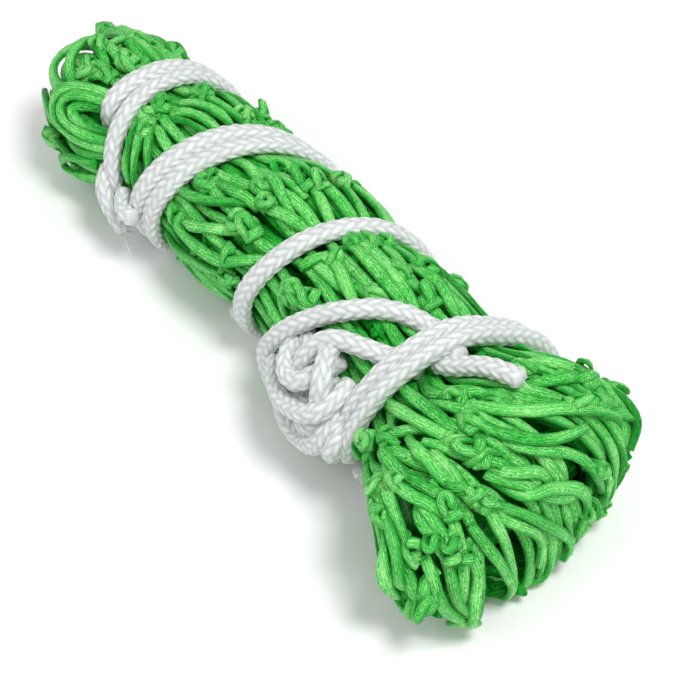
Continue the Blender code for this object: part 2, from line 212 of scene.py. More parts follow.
def surface_grid():
    """The net's surface by station and angle: stations, angles, points, normals and where each angle ends."""
    phis = np.arange(0.0, 360.0, PHI_STEP)
    paths = [foot_path(p) for p in phis]
    longest = max(run[-1] for _, run in paths)
    s_values = np.arange(S_MIN, FOOT_FROM + longest + S_STEP, S_STEP)
    body = s_values <= FOOT_FROM
    past = s_values[~body] - FOOT_FROM
    grid = np.zeros((len(s_values), len(phis), 3))
    ends = np.array([FOOT_FROM + run[-1] + CURL for _, run in paths])
    for k, (phi, (line, run)) in enumerate(zip(phis, paths)):
        grid[body, k] = on_hank(s_values[body], np.full(body.sum(), phi))
        for c in range(3):
            grid[~body, k, c] = np.interp(past, run, line[:, c])
        over = past > run[-1]
        rows = np.where(~body)[0][over]
        grid[rows, k] = line[-1] + (past[over] - run[-1])[:, None] * unit(FOOT_MIDDLE - line[-1])
    soft = blurred(grid, gaussian(8, S_STEP, 1.5))
    soft[:, :, 2] = np.maximum(soft[:, :, 2], 0.0)
    around = np.roll(soft, -1, axis=1) - np.roll(soft, 1, axis=1)
    normal = unit(np.cross(np.gradient(soft, axis=0), around))
    inner_x = np.minimum(s_values, 70.0)
    _, _, cy, cz = envelope(inner_x)
    away = ((soft - np.stack([inner_x, cy, cz], -1)[:, None]) * normal).sum(2)
    normal *= np.where(away < 0.0, -1.0, 1.0)[:, :, None]
    for k in range(len(phis)):
        last = int((ends[k] - CURL - 1.5 - S_MIN) / S_STEP)
        normal[last + 1:, k] = normal[last, k]
    return s_values, phis, soft, normal, ends


S_VALUES, PHIS, GRID, GRID_NORMALS, ENDS = surface_grid()


def lookup(table, s, phi):
    """Values of the surface grid between its stations and angles."""
    fs = np.clip((s - S_MIN) / S_STEP, 0, len(S_VALUES) - 1.001)
    fp = (phi % 360.0) / PHI_STEP
    i = fs.astype(int)
    j = fp.astype(int) % len(PHIS)
    a = (fs - i)[..., None]
    b = (fp - np.floor(fp))[..., None]
    j2 = (j + 1) % len(PHIS)
    return ((table[i, j] * (1 - a) + table[i + 1, j] * a) * (1 - b)
            + (table[i, j2] * (1 - a) + table[i + 1, j2] * a) * b)


def at_phi(values, phi):
    fp = (np.asarray(phi) % 360.0) / PHI_STEP
    j = fp.astype(int) % len(PHIS)
    b = fp - np.floor(fp)
    return values[j] * (1 - b) + values[(j + 1) % len(PHIS)] * b


def place(s, phi, depth):
    """World points at net coordinates and the outward normals there."""
    normal = unit(lookup(GRID_NORMALS, s, phi))
    return lookup(GRID, s, phi) - depth[..., None] * normal, normal


# ------------------------------------------------------------------ cord paths


def turn_station(turn, degrees):
    left, top, right = turn
    s = (180.0 - degrees) / 180.0
    return left * (1 - s) * (1 - 2 * s) + 4 * top * s * (1 - s) + right * s * (2 * s - 1)


def winding(turns, start, end, first_from, last_to, lift=lambda n, degrees: CORD_LIFT):
    """Stations and angles along several turns: the angle falls by 360 from one turn to the next."""
    path = []
    for n, turn in enumerate(turns):
        before = turns[n - 1][2] if n else first_from
        after = turns[n + 1][0] if n + 1 < len(turns) else last_to
        high = start if n == 0 else 180.0
        low = end if n + 1 == len(turns) else -180.0
        for degrees in np.arange(high, low, -3.0):
            if degrees > 180.0:
                x = turn[0] + (before - turn[0]) * float(smooth((degrees - 180.0) / 180.0))
            elif degrees < 0.0:
                x = turn[2] + (after - turn[2]) * float(smooth(-degrees / 180.0))
            else:
                x = turn_station(turn, degrees)
            path.append((x, degrees, lift(n, degrees)))
    return path


def spline(corners, step):
    """Catmull-Rom through corners, resampled evenly."""
    c = np.asarray(corners, float)
    c = np.vstack([2 * c[0] - c[1], c, 2 * c[-1] - c[-2]])
    out = []
    for a, b, d, e in zip(c, c[1:], c[2:], c[3:]):
        for t in np.linspace(0, 1, 14, endpoint=False):
            out.append(0.5 * (2 * b + (d - a) * t + (2 * a - 5 * b + 4 * d - e) * t * t
                              + (3 * b - a - 3 * d + e) * t ** 3))
    out.append(c[-2])
    return resample(np.array(out), step)


def resample(points, step):
    run = length_along(points)
    at = np.linspace(0, run[-1], max(2, int(round(run[-1] / step)) + 1))
    return np.stack([np.interp(at, run, column) for column in points.T], -1)


def cord_world(path):
    path = np.asarray(path, float)
    points = on_hank(path[:, 0], path[:, 1], path[:, 2])
    points[:, 2] = np.maximum(points[:, 2], CORD_RADIUS + 0.05)
    return points


def tucked_start(n, degrees):
    """The first turn comes out from between the folds of netting."""
    return CORD_LIFT - (6.0 * float(smooth((degrees - 128.0) / 16.0)) if n == 0 else 0.0)


def over_the_leads(n, degrees):
    """The doubled last turn rides over the two leads and the two cut ends."""
    return CORD_LIFT + 2.9 * float(smooth((degrees - 58.0) / 24.0) * smooth((206.0 - degrees) / 30.0))


CORD_FRONT = winding([TURN_1A, TURN_2A], 146.0, -150.0, -88.0, -19.0, tucked_start)
CORD_REAR = winding([TURN_1B, TURN_2B, TURN_3], 238.0, -176.0, -70.0, 31.0)
TURN_4_FRONT = winding([TURN_4A], 190.0, -165.0, 34.0, 40.0, over_the_leads)
TURN_4_REAR = winding([TURN_4B], 186.0, -165.0, 45.0, 45.0, over_the_leads)

CORD_STRANDS = {
    "front": cord_world(CORD_FRONT),
    "rear": cord_world(CORD_REAR),
    "four_front": cord_world(TURN_4_FRONT),
    "four_rear": cord_world(TURN_4_REAR),
}

# The lashing knot on the -Y side: station, angle and lift of the corners of each pass of cord.
KNOT_PASSES = {
    "knot_outer": ((50.0, 80, -3.6), (42.0, 84, -3.0), (32.7, 97, 0.0), (22.9, 121, 1.8), (13.8, 144, 3.0),
                   (6.3, 172, 3.2), (3.6, 194, 3.8), (10.8, 200, 5.6), (20.0, 198, 6.4), (26.8, 194, 6.0),
                   (34.4, 183, 4.4), (38.8, 167, 2.0)),
    "knot_inner": ((49.0, 107, -4.2), (43.2, 114, -3.0), (35.4, 125, 0.2), (28.6, 134, 2.0), (23.0, 144, 3.4),
                   (20.8, 155, 4.2), (20.6, 166, 4.8), (20.5, 178, 5.0), (17.3, 190, 4.4), (15.0, 200, 0.0)),
    "knot_column": ((25.0, 140, -1.0), (27.4, 141, 4.6), (29.8, 143, 7.6), (32.9, 147, 8.6), (35.3, 153, 8.4),
                    (35.6, 161, 7.2), (34.0, 168, 4.0)),
    "knot_vee": ((13.4, 157, 0.5), (15.6, 161, 5.6), (20.3, 166, 7.8), (25.4, 165, 8.2), (28.4, 157, 7.4),
                 (28.2, 149, 4.8), (27.0, 143, -1.0)),
    "knot_lower": ((9.1, 188, 1.6), (17.9, 197, 7.0), (27.9, 197, 7.4), (36.3, 186, 6.4), (41.0, 169, 4.2),
                   (40.0, 156, -1.0)),
    "knot_cross": ((7.9, 180, 3.0), (17.2, 179, 8.0), (26.2, 176, 9.6), (34.0, 166, 8.8), (37.8, 156, 5.8),
                   (36.0, 147, 0.0)),
    "knot_bight": ((29.1, 188, 4.0), (36.3, 191, 6.0), (42.6, 181, 4.8), (45.0, 168, 3.0), (42.0, 160, -1.0)),
    "knot_under": ((12.0, 150, -2.0), (17.0, 156, 0.8), (24.0, 159, 1.6), (31.0, 161, 1.2),
                   (37.0, 158, -2.0)),
    "knot_below": ((10.0, 176, -1.0), (18.0, 182, 1.8), (27.0, 184, 2.2), (35.0, 178, 1.4),
                   (40.0, 168, -2.0)),
}
LONG_TAIL = ((50.0, 95, -3.2), (55.0, 89, -1.6), (61.4, 84.4, 0.6), (67.6, 81.0, 2.0), (73.6, 78.0, 3.0))
SHORT_TAIL = ((46.0, 92, -3.4), (49.4, 90.0, -2.2), (52.0, 89.0, -1.0), (54.5, 88.8, -0.8))
# Two lengths of the same cord that show below the hank on the -Y side; the first has a frayed end.
LOW_LENGTH = ((-74.5, 170, -3.4), (-73.0, 178, 0.2), (-70.4, 187, 2.2), (-67.4, 196, 3.0), (-64.6, 205, 3.2))
LOW_RETURN = ((-69.0, 183, -1.2), (-65.4, 186, 1.6), (-61.2, 185, 2.0), (-57.2, 181, -0.4))

for name, corners in {**KNOT_PASSES, "long_tail": LONG_TAIL, "short_tail": SHORT_TAIL,
                      "low_length": LOW_LENGTH, "low_return": LOW_RETURN}.items():
    CORD_STRANDS[name] = cord_world(spline(corners, 1.2))


# ------------------------------------------------------------------ relaxation


# How near two points are looked at together, and after how many rounds the pairs are found anew.
PAIR_REACH = 6.6
ROUNDS_A_SEARCH = 6
# How near two strands may come, how many rounds it takes, and how hard each is pulled back to its course.
CORD_SPACING, CORD_ROUNDS, CORD_HOME_PULL = 4.5, 40, 0.02
NET_CORD_GAP, NET_ROUNDS, NET_HOME_PULL = 3.75, 46, 0.012


def close_pairs(points, reach):
    """Index pairs nearer than reach, found on a grid of cells."""
    cell = np.floor(points / reach).astype(np.int64)
    cell -= cell.min(0) - 1
    dims = cell.max(0) + 2
    key = (cell[:, 0] * dims[1] + cell[:, 1]) * dims[2] + cell[:, 2]
    order = np.argsort(key, kind="stable")
    sorted_key = key[order]
    firsts, seconds = [], []
    for dx, dy, dz in itertools.product((-1, 0, 1), repeat=3):
        other = key + (dx * dims[1] + dy) * dims[2] + dz
        low = np.searchsorted(sorted_key, other, "left")
        high = np.searchsorted(sorted_key, other, "right")
        for k in range(int((high - low).max(initial=0))):
            i = np.where(low + k < high)[0]
            j = order[low[i] + k]
            firsts.append(i[i < j])
            seconds.append(j[i < j])
    i = np.concatenate(firsts)
    j = np.concatenate(seconds)
    near = ((points[i] - points[j]) ** 2).sum(1) < reach * reach
    return i[near], j[near]


def relax(lines, across, thick, normals, free, obstacles, obstacle_gap, rounds, home_pull):
    """Pushes strands apart until they touch without cutting, keeping each near its laid course."""
    counts = [len(line) for line in lines]
    owner = np.repeat(np.arange(len(lines)), counts)
    order_in = np.concatenate([np.arange(count) for count in counts])
    points = np.vstack(lines)
    home = points.copy()
    link = np.where(owner[:-1] == owner[1:])[0]
    inner = link[1:][link[1:] == link[:-1] + 1]
    rest = np.linalg.norm(points[link + 1] - points[link], axis=1)
    for n in range(rounds):
        if n % ROUNDS_A_SEARCH == 0:
            i, j = close_pairs(points, PAIR_REACH)
            apart = (owner[i] != owner[j]) | (np.abs(order_in[i] - order_in[j]) > 5)
            i, j = i[apart], j[apart]
            a, b = close_pairs(np.vstack([points, obstacles]), obstacle_gap + 1.5)
            cross = (a < len(points)) & (b >= len(points))
            oi, oj = a[cross], b[cross] - len(points)
        move = np.zeros_like(points)
        count = np.zeros(len(points))
        delta = points[i] - points[j]
        mean_n = unit(normals[i] + normals[j])
        radial = (delta * mean_n).sum(1)
        flat = delta - radial[:, None] * mean_n
        wide = 0.5 * (across[i] + across[j])
        tall = 0.5 * (thick[i] + thick[j])
        size = np.sqrt((flat ** 2).sum(1) / wide ** 2 + radial ** 2 / tall ** 2) + 1e-6
        hit = size < 1.0
        push = np.clip(delta * ((1.0 / size) - 1.0)[:, None] * 0.5, -0.6, 0.6)[hit]
        for ends, way in ((i[hit], push), (j[hit], -push)):
            np.add.at(move, ends, way)
            np.add.at(count, ends, 1)
        delta = points[oi] - obstacles[oj]
        far = np.linalg.norm(delta, axis=1) + 1e-6
        hit = far < obstacle_gap
        push = 0.35 * (delta * ((obstacle_gap / far) - 1.0)[:, None])
        push -= 0.65 * (normals[oi] * (obstacle_gap - far)[:, None])
        np.add.at(move, oi[hit], push[hit])
        np.add.at(count, oi[hit], 1)
        points += free * (move / np.maximum(count, 1)[:, None]) * 0.9
        # Each link goes back to its length, and each bend eases a little.
        stretch = points[link + 1] - points[link]
        length = np.linalg.norm(stretch, axis=1) + TINY
        fix = stretch * (0.5 * (1 - rest / length))[:, None]
        points[link] += fix * free[link]
        points[link + 1] -= fix * free[link + 1]
        middle = 0.5 * (points[inner - 1] + points[inner + 1]) - points[inner]
        points[inner] += 0.12 * middle * free[inner]
        points += (home - points) * home_pull
        points[:, 2] = np.maximum(points[:, 2], FLOOR_GAP)
    return np.split(points, np.cumsum(counts)[:-1])


def relaxed_cord():
    """The strands of cord, the passes of the knot and the ends eased apart where they cross."""
    lines = [resample(line, 2.0) for line in CORD_STRANDS.values()]
    points = np.vstack(lines)
    moves = [name.startswith(("knot", "long", "short", "low")) for name in CORD_STRANDS]
    free = np.repeat(np.array(moves, float), [len(line) for line in lines])[:, None]
    size = np.full(len(points), CORD_SPACING)
    nothing = np.zeros((0, 3))
    lines = relax(lines, size, size, outward(points), free, nothing, 0.0, CORD_ROUNDS, CORD_HOME_PULL)
    for line in lines:
        line[:, 2] = np.maximum(line[:, 2], CORD_RADIUS)
    return dict(zip(CORD_STRANDS, lines))


CORD_STRANDS = relaxed_cord()
CORD_OBSTACLES = np.vstack([resample(line, 1.8) for line in CORD_STRANDS.values()])


# ------------------------------------------------------------------ net


TURNS = (CORD_FRONT, CORD_REAR, TURN_4_FRONT, TURN_4_REAR)
GROOVE_POINTS = np.vstack([np.array(path)[:, :2] for path in TURNS])


def groove(s, phi):
    """How much deeper the net lies here because a turn of cord presses on it."""
    w = envelope(np.clip(s, -118, 80))[0]
    apart = (GROOVE_POINTS[None, :, 1] - phi[:, None] + 180.0) % 360.0 - 180.0
    across = np.hypot(GROOVE_POINTS[None, :, 0] - s[:, None], np.radians(apart) * w[:, None])
    return 1.0 - smooth((across.min(1) - 3.4) / 6.6)


# Stations of the net's rows of knots, and its layers: number of twines, depth under the envelope and how much
# it varies, how far a turn of cord presses it in, the angle of its first twine, and the twine's size.
ROWS = np.array([-99.0, -73.0, -48.0, -24.0, 2.0, 28.0, 57.0, 83.0])
LAYERS = (
    dict(name="outer", count=28, depth=2.5, bump=1.0, sink=2.9, shift=0.0,
         width=3.35, thick=1.85, knots=True),
    dict(name="middle", count=28, depth=5.1, bump=0.7, sink=2.4, shift=5.0,
         width=3.7, thick=1.9, knots=True),
    dict(name="inner", count=24, depth=7.6, bump=0.3, sink=1.4, shift=9.0,
         width=4.0, thick=2.0, knots=False),
)
STEP = 2.4
# Bars on the underside end this much sooner; knots keep this far from a twine's end and from the cord.
UNDER_SHORTER = 5.0
KNOT_END_GAP = 9.0
KNOT_CORD_GAP = 5.2
BAR_CORD_GAP = 6.5
KNOT_SNAP = 4.0
FOOT_BARS = 18
FOOT_BARS_FROM = 76.0
FOOT_BARS_PITCH = 5.8
DEGREE_MM = 0.45
LOOSE_LIFT = 0.3
LOOSE_TUCK = 3.4
# Corners of the loose bars: station, angle and, where there is one, extra lift.
LOOSE_BARS = (
    ((67.3, 99, 0.6), (71.2, 97), (78.7, 84), (82.9, 61), (85.3, 40), (86.8, 22)),
    ((69.4, 105), (75.5, 101, 1.2), (82.3, 92, 1.8), (86.9, 81, 2.9), (88, 67, 3.6), (86.9, 59, 3.9)),
    ((48.3, 123), (59.9, 115), (70.1, 110), (75.4, 103)),
    ((48.2, 135), (57.3, 125), (67.9, 116), (75.8, 104)), ((77.6, 98), (85.4, 87), (91.5, 48), (92.5, 19)),
    ((64.7, 100), (65.7, 94), (72.4, 86)), ((78.6, 101), (81.3, 99), (86.9, 88)),
    ((83.2, 105), (85.8, 103), (91.3, 84), (93, 57), (92.9, 37)), ((84.5, 104), (90.6, 89), (94.8, 21)),
    ((87.2, 111), (91.6, 103), (96, 63)), ((87.9, 109), (92.1, 95), (95.3, 53), (95.8, -10)),
    ((88, 120), (92.2, 116), (96.1, 101)), ((91.6, 127), (94.5, 124), (96.2, 191)),
    ((89.9, 137), (93.5, 139), (96.1, 163)), ((85.6, 148), (90.6, 152), (95, 170)),
    ((74.6, 157), (79.4, 164), (82.5, 178), (83.5, 191)), ((57.9, 148), (70.3, 136), (79.7, 126), (86, 123)),
    ((60.8, 147), (71.6, 140), (81.2, 131), (86.1, 127)), ((68.1, 122), (77.7, 117), (86, 116)),
    ((61.7, 129), (74.7, 122), (83.9, 116)), ((64.8, 63), (70.1, 56), (75, 46), (75.8, 31, 0.5)),
    ((71.9, 75), (75.9, 60), (78.9, 47), (81.8, 35)), ((65.8, 147), (68.8, 154), (70.6, 163)),
    ((64.2, 152), (73.8, 146), (79.3, 147), (81.7, 156)), ((77.7, 135), (84.1, 137), (88.1, 136)),
    ((80.6, 104), (87.4, 93), (91.1, 72)), ((90.4, 53), (92.1, 35), (93, 3)),
    ((76.2, 30, 1), (80, 20, 0.5), (85.8, 19, 1.5), (87, 2)), ((83.4, 49), (85.8, 36), (86.1, 4, 1.5)),
    ((91.8, 169), (88.8, 161), (89, 148)), ((-50.3, 143), (-43.2, 139), (-33.3, 131), (-23.4, 111)),
    ((-43.3, 158), (-31.8, 149), (-18.5, 130)), ((-45.7, 166), (-37.5, 164), (-20.5, 159), (-11, 136)),
    ((-47.9, -170), (-35.7, -180), (-19.1, -191)), ((-39.9, 121), (-29.6, 119), (-22.4, 113)),
    ((-32.8, 94), (-22.9, 95), (-13.7, 105)), ((-21.2, 110), (-13.2, 107), (-5.3, 103)),
    ((-29.5, 89), (-22.3, 87), (-15.7, 87)), ((-45.1, 128), (-40.2, 128), (-36.4, 131)),
    ((-72.4, 122), (-69.2, 137), (-67, 154), (-65.9, 168)),
    ((-71, 119), (-66.4, 133), (-63.7, 149), (-62.5, 166)),
    ((-68.7, 117), (-64.3, 125), (-60.2, 139), (-58.6, 157)),
    ((-66.9, 116), (-60.2, 122), (-55.1, 125), (-51.8, 126)),
    ((-67.2, 103), (-61.6, 94), (-53.2, 89), (-46.8, 86)),
    ((-65, 106), (-58.1, 100), (-51.8, 95), (-46.4, 93)),
    ((-68.1, 90), (-60.8, 83), (-50.9, 77), (-44.2, 74)), ((-74.6, 97), (-71.8, 105), (-68.3, 115)),
    ((4.2, 87), (11.2, 89), (21.9, 92), (36.2, 91)), ((4.4, 83), (12.4, 84), (23.7, 86), (35.8, 84)),
    ((4.9, 104), (12.2, 109), (21.4, 115)), ((20.3, 64), (30.9, 63), (41.9, 63)),
    ((1.6, 116), (9.9, 113), (16, 113)), ((2.5, 141), (8.5, 138), (13.8, 137)),
    ((0.9, 121), (4.8, 114), (5.3, 102)), ((-2.2, 146), (1.3, 153), (3.9, 161)),
    ((19.8, 79), (27.2, 80), (34.9, 77)),
    ((-82.2, 123), (-89.4, 126), (-96.6, 130), (-101, 143),
     (-101.6, 154), (-96.4, 163), (-86, 161), (-75.7, 158)),
    ((-80.9, 127), (-87.5, 129), (-93.6, 133), (-97.8, 142),
     (-98, 151), (-93.1, 158), (-84.3, 157), (-74.6, 152)),
    ((-79.8, 130), (-85.5, 132), (-90.3, 135), (-93.4, 142),
     (-93.7, 148), (-90.3, 154), (-83.4, 152), (-74.8, 148)),
    ((-95.6, 101), (-101.9, 93), (-108, 91), (-108.9, 101), (-105.7, 115), (-101.9, 126), (-97.2, 131)),
    ((-73.5, 175), (-82.4, 182), (-89.6, 183),
     (-96.3, 202, 0.5), (-91.5, 200, 1.5), (-85.8, 200), (-76.1, 188)),
    ((-74.3, 168), (-81.3, 174), (-86.2, 172), (-92.7, 179)),
    ((-112.9, 66), (-101.3, 77), (-92.5, 81), (-85.9, 82)),
    ((-112.6, 62, 0.5), (-102.3, 69), (-91.8, 74), (-84.8, 72)), ((-97.6, 67), (-90.3, 69), (-84.4, 66)),
    ((-105.4, 89), (-97.5, 91), (-89.3, 95), (-84, 95)),
    ((-96, 119), (-93.8, 110), (-88.8, 108), (-83.7, 105)), ((-99.9, 107), (-95.2, 106), (-90.2, 108)),
)
# Knots that show among them: station, angle.
LOOSE_KNOTS = (
    (74.7, 100), (63.8, 100), (85.4, 115), (88.2, 108), (82.7, 105), (78.7, 105), (85.1, 124),
    (73.1, 157), (84.8, 145), (87, 137), (89.1, 128), (91.6, 125), (89.6, 137), (82.3, 61),
    (77.4, 46), (91.9, 41), (73.6, 41), (52.7, 151), (45.8, 139), (83.5, 48), (72.4, 86),
    (94.6, 25), (91.4, 165), (-50.3, 143), (-21.5, 110), (-44.8, 159), (-17.4, 129), (-10.7, 137),
    (-18.5, 170), (-19.7, 80), (-16.5, 73), (-69.9, 99), (-72.9, 83), (-71.3, 118), (-67.2, 71),
    (-55.4, 122), (5.3, 102), (4.2, 87), (7, 73), (2, 133), (8.7, 131), (35.4, 75),
    (21.8, 77), (-43.5, 55), (-41, 123), (-48.7, 37), (-113.5, 65), (-97.6, 67), (-100.5, 108),
    (-90.3, 106), (-89.5, 95), (-102.7, 92),
)


def knot_places(layer, index):
    """Knot centres of one layer: station, angle and depth for each row and each pair of twines."""
    places = {}
    n = layer["count"]
    pitch = 360.0 / n
    for r, row in enumerate(ROWS):
        for k in range(r % 2, n, 2):
            s = row + RNG.uniform(-8.5, 8.5) + (4.0 if index == 1 else 0.0) * (-1) ** r
            if r == len(ROWS) - 1:
                s = row + RNG.uniform(-4.0, 11.0)
            if r == 0:
                s = row + RNG.uniform(-4.0, 6.0)
            phi = layer["shift"] + (k + 1.0) * pitch + RNG.uniform(-0.32, 0.32) * pitch
            # A knot moves out from under a turn of cord.
            for _ in range(6):
                if groove(np.array([s]), np.array([phi]))[0] < 0.15:
                    break
                s += RNG.uniform(1.0, 3.0) * (1 if RNG.random() < 0.5 else -1)
            places[(r, k)] = (s, phi, layer["depth"] + RNG.uniform(-layer["bump"], 0.2))
    return places


def course(layer, places, j):
    """Net coordinates (s, phi, depth, swell) along twine j, from the head to the foot."""
    n = layer["count"]
    pitch = 360.0 / n
    base = layer["shift"] + (j + 0.5) * pitch
    spread = base + RNG.normal(0.0, 0.22) * pitch
    end = float(at_phi(ENDS, spread)) - RNG.uniform(0.0, 5.0)
    if math.sin(math.radians(spread)) < -0.12:
        end -= UNDER_SHORTER
    corners = []
    for r in range(len(ROWS)):
        k = j if (r + j) % 2 == 0 else (j - 1) % n
        s, phi, depth = places[(r, k)]
        if s > end - KNOT_END_GAP:
            continue
        side = -1.0 if k == j else 1.0
        phi = base + ((phi - base + 180.0) % 360.0 - 180.0)
        radius = envelope(min(s, 80.0))[0] - depth
        corners.append((s, phi + side * math.degrees(1.0 / radius), depth))
    corners.append((end, spread, corners[-1][2] + RNG.uniform(-0.6, 0.6)))
    line = []
    for a, b in zip(corners, corners[1:]):
        length = b[0] - a[0]
        count = max(4, int(round(length / STEP)))
        bow = RNG.normal(0.0, 4.2)
        lift = abs(RNG.normal(0.0, layer["bump"] * 1.1)) - 0.3
        fat = RNG.uniform(0.98, 1.2)
        for t in np.arange(count) / count:
            e = 0.35 * smooth(t) + 0.65 * t
            arch = math.sin(math.pi * t)
            line.append((a[0] + t * length, a[1] + (b[1] - a[1]) * e + bow * arch,
                         a[2] + (b[2] - a[2]) * t - lift * arch, swell(t, fat)))
    line.append((*corners[-1], 0.8))
    return line


def swell(t, fat=1.04):
    """Relative width of a bar: drawn in at its knots, spread flat between them."""
    return 0.78 + (fat - 0.78) * math.sin(math.pi * t) ** 0.6


def head_turn(layer, a, b):
    """Net coordinates of the bend at the head that joins two twines, from a's first point to b's."""
    tip = RNG.uniform(-114.5, -110.0) + 0.25 * layer["depth"]
    inward = RNG.uniform(0.5, 4.5) if layer["knots"] else RNG.uniform(2.0, 10.5)
    mid, half = 0.5 * (a[1] + b[1]), 0.5 * (b[1] - a[1])

    def leg(end, side, start, stop):
        reach = end[0] - tip
        steps = np.linspace(start, stop, max(5, int(reach / STEP)), endpoint=False)
        return [(end[0] - t * (reach - 3.0), mid + side * half * (1 - 0.25 * t), end[2] + inward * t * t, 1.0)
                for t in steps]

    bend = [(tip + 3.0 - 3.0 * math.sin(t), mid - half * 0.75 * math.cos(t),
             a[2] + inward + 0.8 * math.sin(t), 1.0) for t in np.linspace(0.0, math.pi, 6)]
    return leg(a, -1.0, 0.0, 1.0) + bend + leg(b, 1.0, 1.0, 0.0)


def cord_distance(point):
    return np.linalg.norm(CORD_OBSTACLES - point, axis=1).min()


def strand(point, normal, s, width, layer=0):
    """One length of twine: its line, normals, stations, relative width and layer."""
    point[:, 2] = np.maximum(point[:, 2], FLOOR_GAP)
    return dict(layer=layer, point=point, normal=normal, s=s, swell=width)


def build_net():
    """All twines as world polylines with normals, and all knots."""
    twines, knots = [], []
    for index, layer in enumerate(LAYERS):
        places = knot_places(layer, index)
        courses = [course(layer, places, j) for j in range(layer["count"])]
        for first, second in zip(courses[::2], courses[1::2]):
            line = np.array(first[::-1] + head_turn(layer, first[0], second[0]) + second)
            s, phi, depth, width = line.T
            twines.append(strand(*place(s, phi, depth + layer["sink"] * groove(s, phi)), s, width, index))
        knots += [dict(layer=index, s=s, phi=phi, depth=depth) for s, phi, depth in places.values()
                  if s < at_phi(ENDS, phi) - KNOT_END_GAP]
    return twines, knots


def foot_bars():
    """Short bars of the foot, each from a knot among the others out over the rim."""
    bars, knots = [], []
    for i in range(FOOT_BARS):
        phi = FOOT_BARS_FROM + FOOT_BARS_PITCH * (i + RNG.uniform(-0.35, 0.35))
        start = 66.0 + RNG.uniform(0.0, 17.0)
        length = float(at_phi(ENDS, phi)) - RNG.uniform(2.0, 9.0) - start
        if length < 12.0:
            continue
        drift = RNG.normal(0.0, 5.0)
        bow = RNG.normal(0.0, 3.0)
        t = np.linspace(0.0, 1.0, max(6, int(length / STEP)))
        depth = 1.1 - 1.3 * np.sin(np.pi * np.minimum(t * 1.6, 1.0)) + 0.6 * t
        point, normal = place(start + t * length, phi + drift * t + bow * np.sin(np.pi * t), depth)
        if cord_distance(point[0]) < BAR_CORD_GAP:
            continue
        bars.append(strand(point, normal, start + t * length, np.array([swell(0.5 * v) for v in t])))
        knots.append(dict(layer=0, s=start, phi=phi, depth=0.9))
    return bars, knots


def loose_bars():
    """Bars that lie loose over the rest, and the knots that show between them."""
    bars = []
    scale = (1.0, DEGREE_MM, 1.0)
    for corners in LOOSE_BARS:
        corners = np.array([(*corner, 0.0)[:3] for corner in corners])
        corners[:, 1] = np.unwrap(corners[:, 1], period=360.0)
        x, degrees, lift = (spline(corners * scale, 1.0) / scale).T
        run = np.arange(len(x))
        tuck = LOOSE_TUCK * np.exp(-(np.minimum(run, run[-1] - run) / 3.2) ** 2)
        point = resample(on_hank(x, degrees, lift + LOOSE_LIFT - tuck), STEP)
        point[:, 2] = np.maximum(point[:, 2], FLOOR_GAP)
        _, _, cy, cz = envelope(np.clip(point[:, 0], -112, 88))
        normal = unit(point - np.stack([np.clip(point[:, 0], -98.0, 70.0), cy, cz], -1))
        width = np.array([swell(v) for v in np.linspace(0.0, 1.0, len(point))])
        bars.append(strand(point, normal, point[:, 0], width))
    return bars, [dict(layer=0, x=x, degrees=degrees) for x, degrees in LOOSE_KNOTS]


TWINES, KNOTS = build_net()
for extra_bars, extra_knots in (foot_bars(), loose_bars()):
    TWINES += extra_bars
    KNOTS += extra_knots


def relax_net():
    """Eases all the twines apart, and off the cord."""
    points = [t["point"] for t in TWINES]
    across = np.concatenate([LAYERS[t["layer"]]["width"] * 0.9 * t["swell"] for t in TWINES])
    thick = np.concatenate([np.full(len(t["point"]), LAYERS[t["layer"]]["thick"]) for t in TWINES])
    normals = np.vstack([t["normal"] for t in TWINES])
    free = np.ones((len(thick), 1))
    lines = relax(points, across, thick, normals, free,
                  CORD_OBSTACLES, NET_CORD_GAP, NET_ROUNDS, NET_HOME_PULL)
    for t, line in zip(TWINES, lines):
        t["point"] = line


relax_net()

# ------------------------------------------------------------------ meshes


def add_object(name, data):
    obj = bpy.data.objects.new(name, data)
    bpy.context.scene.collection.objects.link(obj)
    return obj


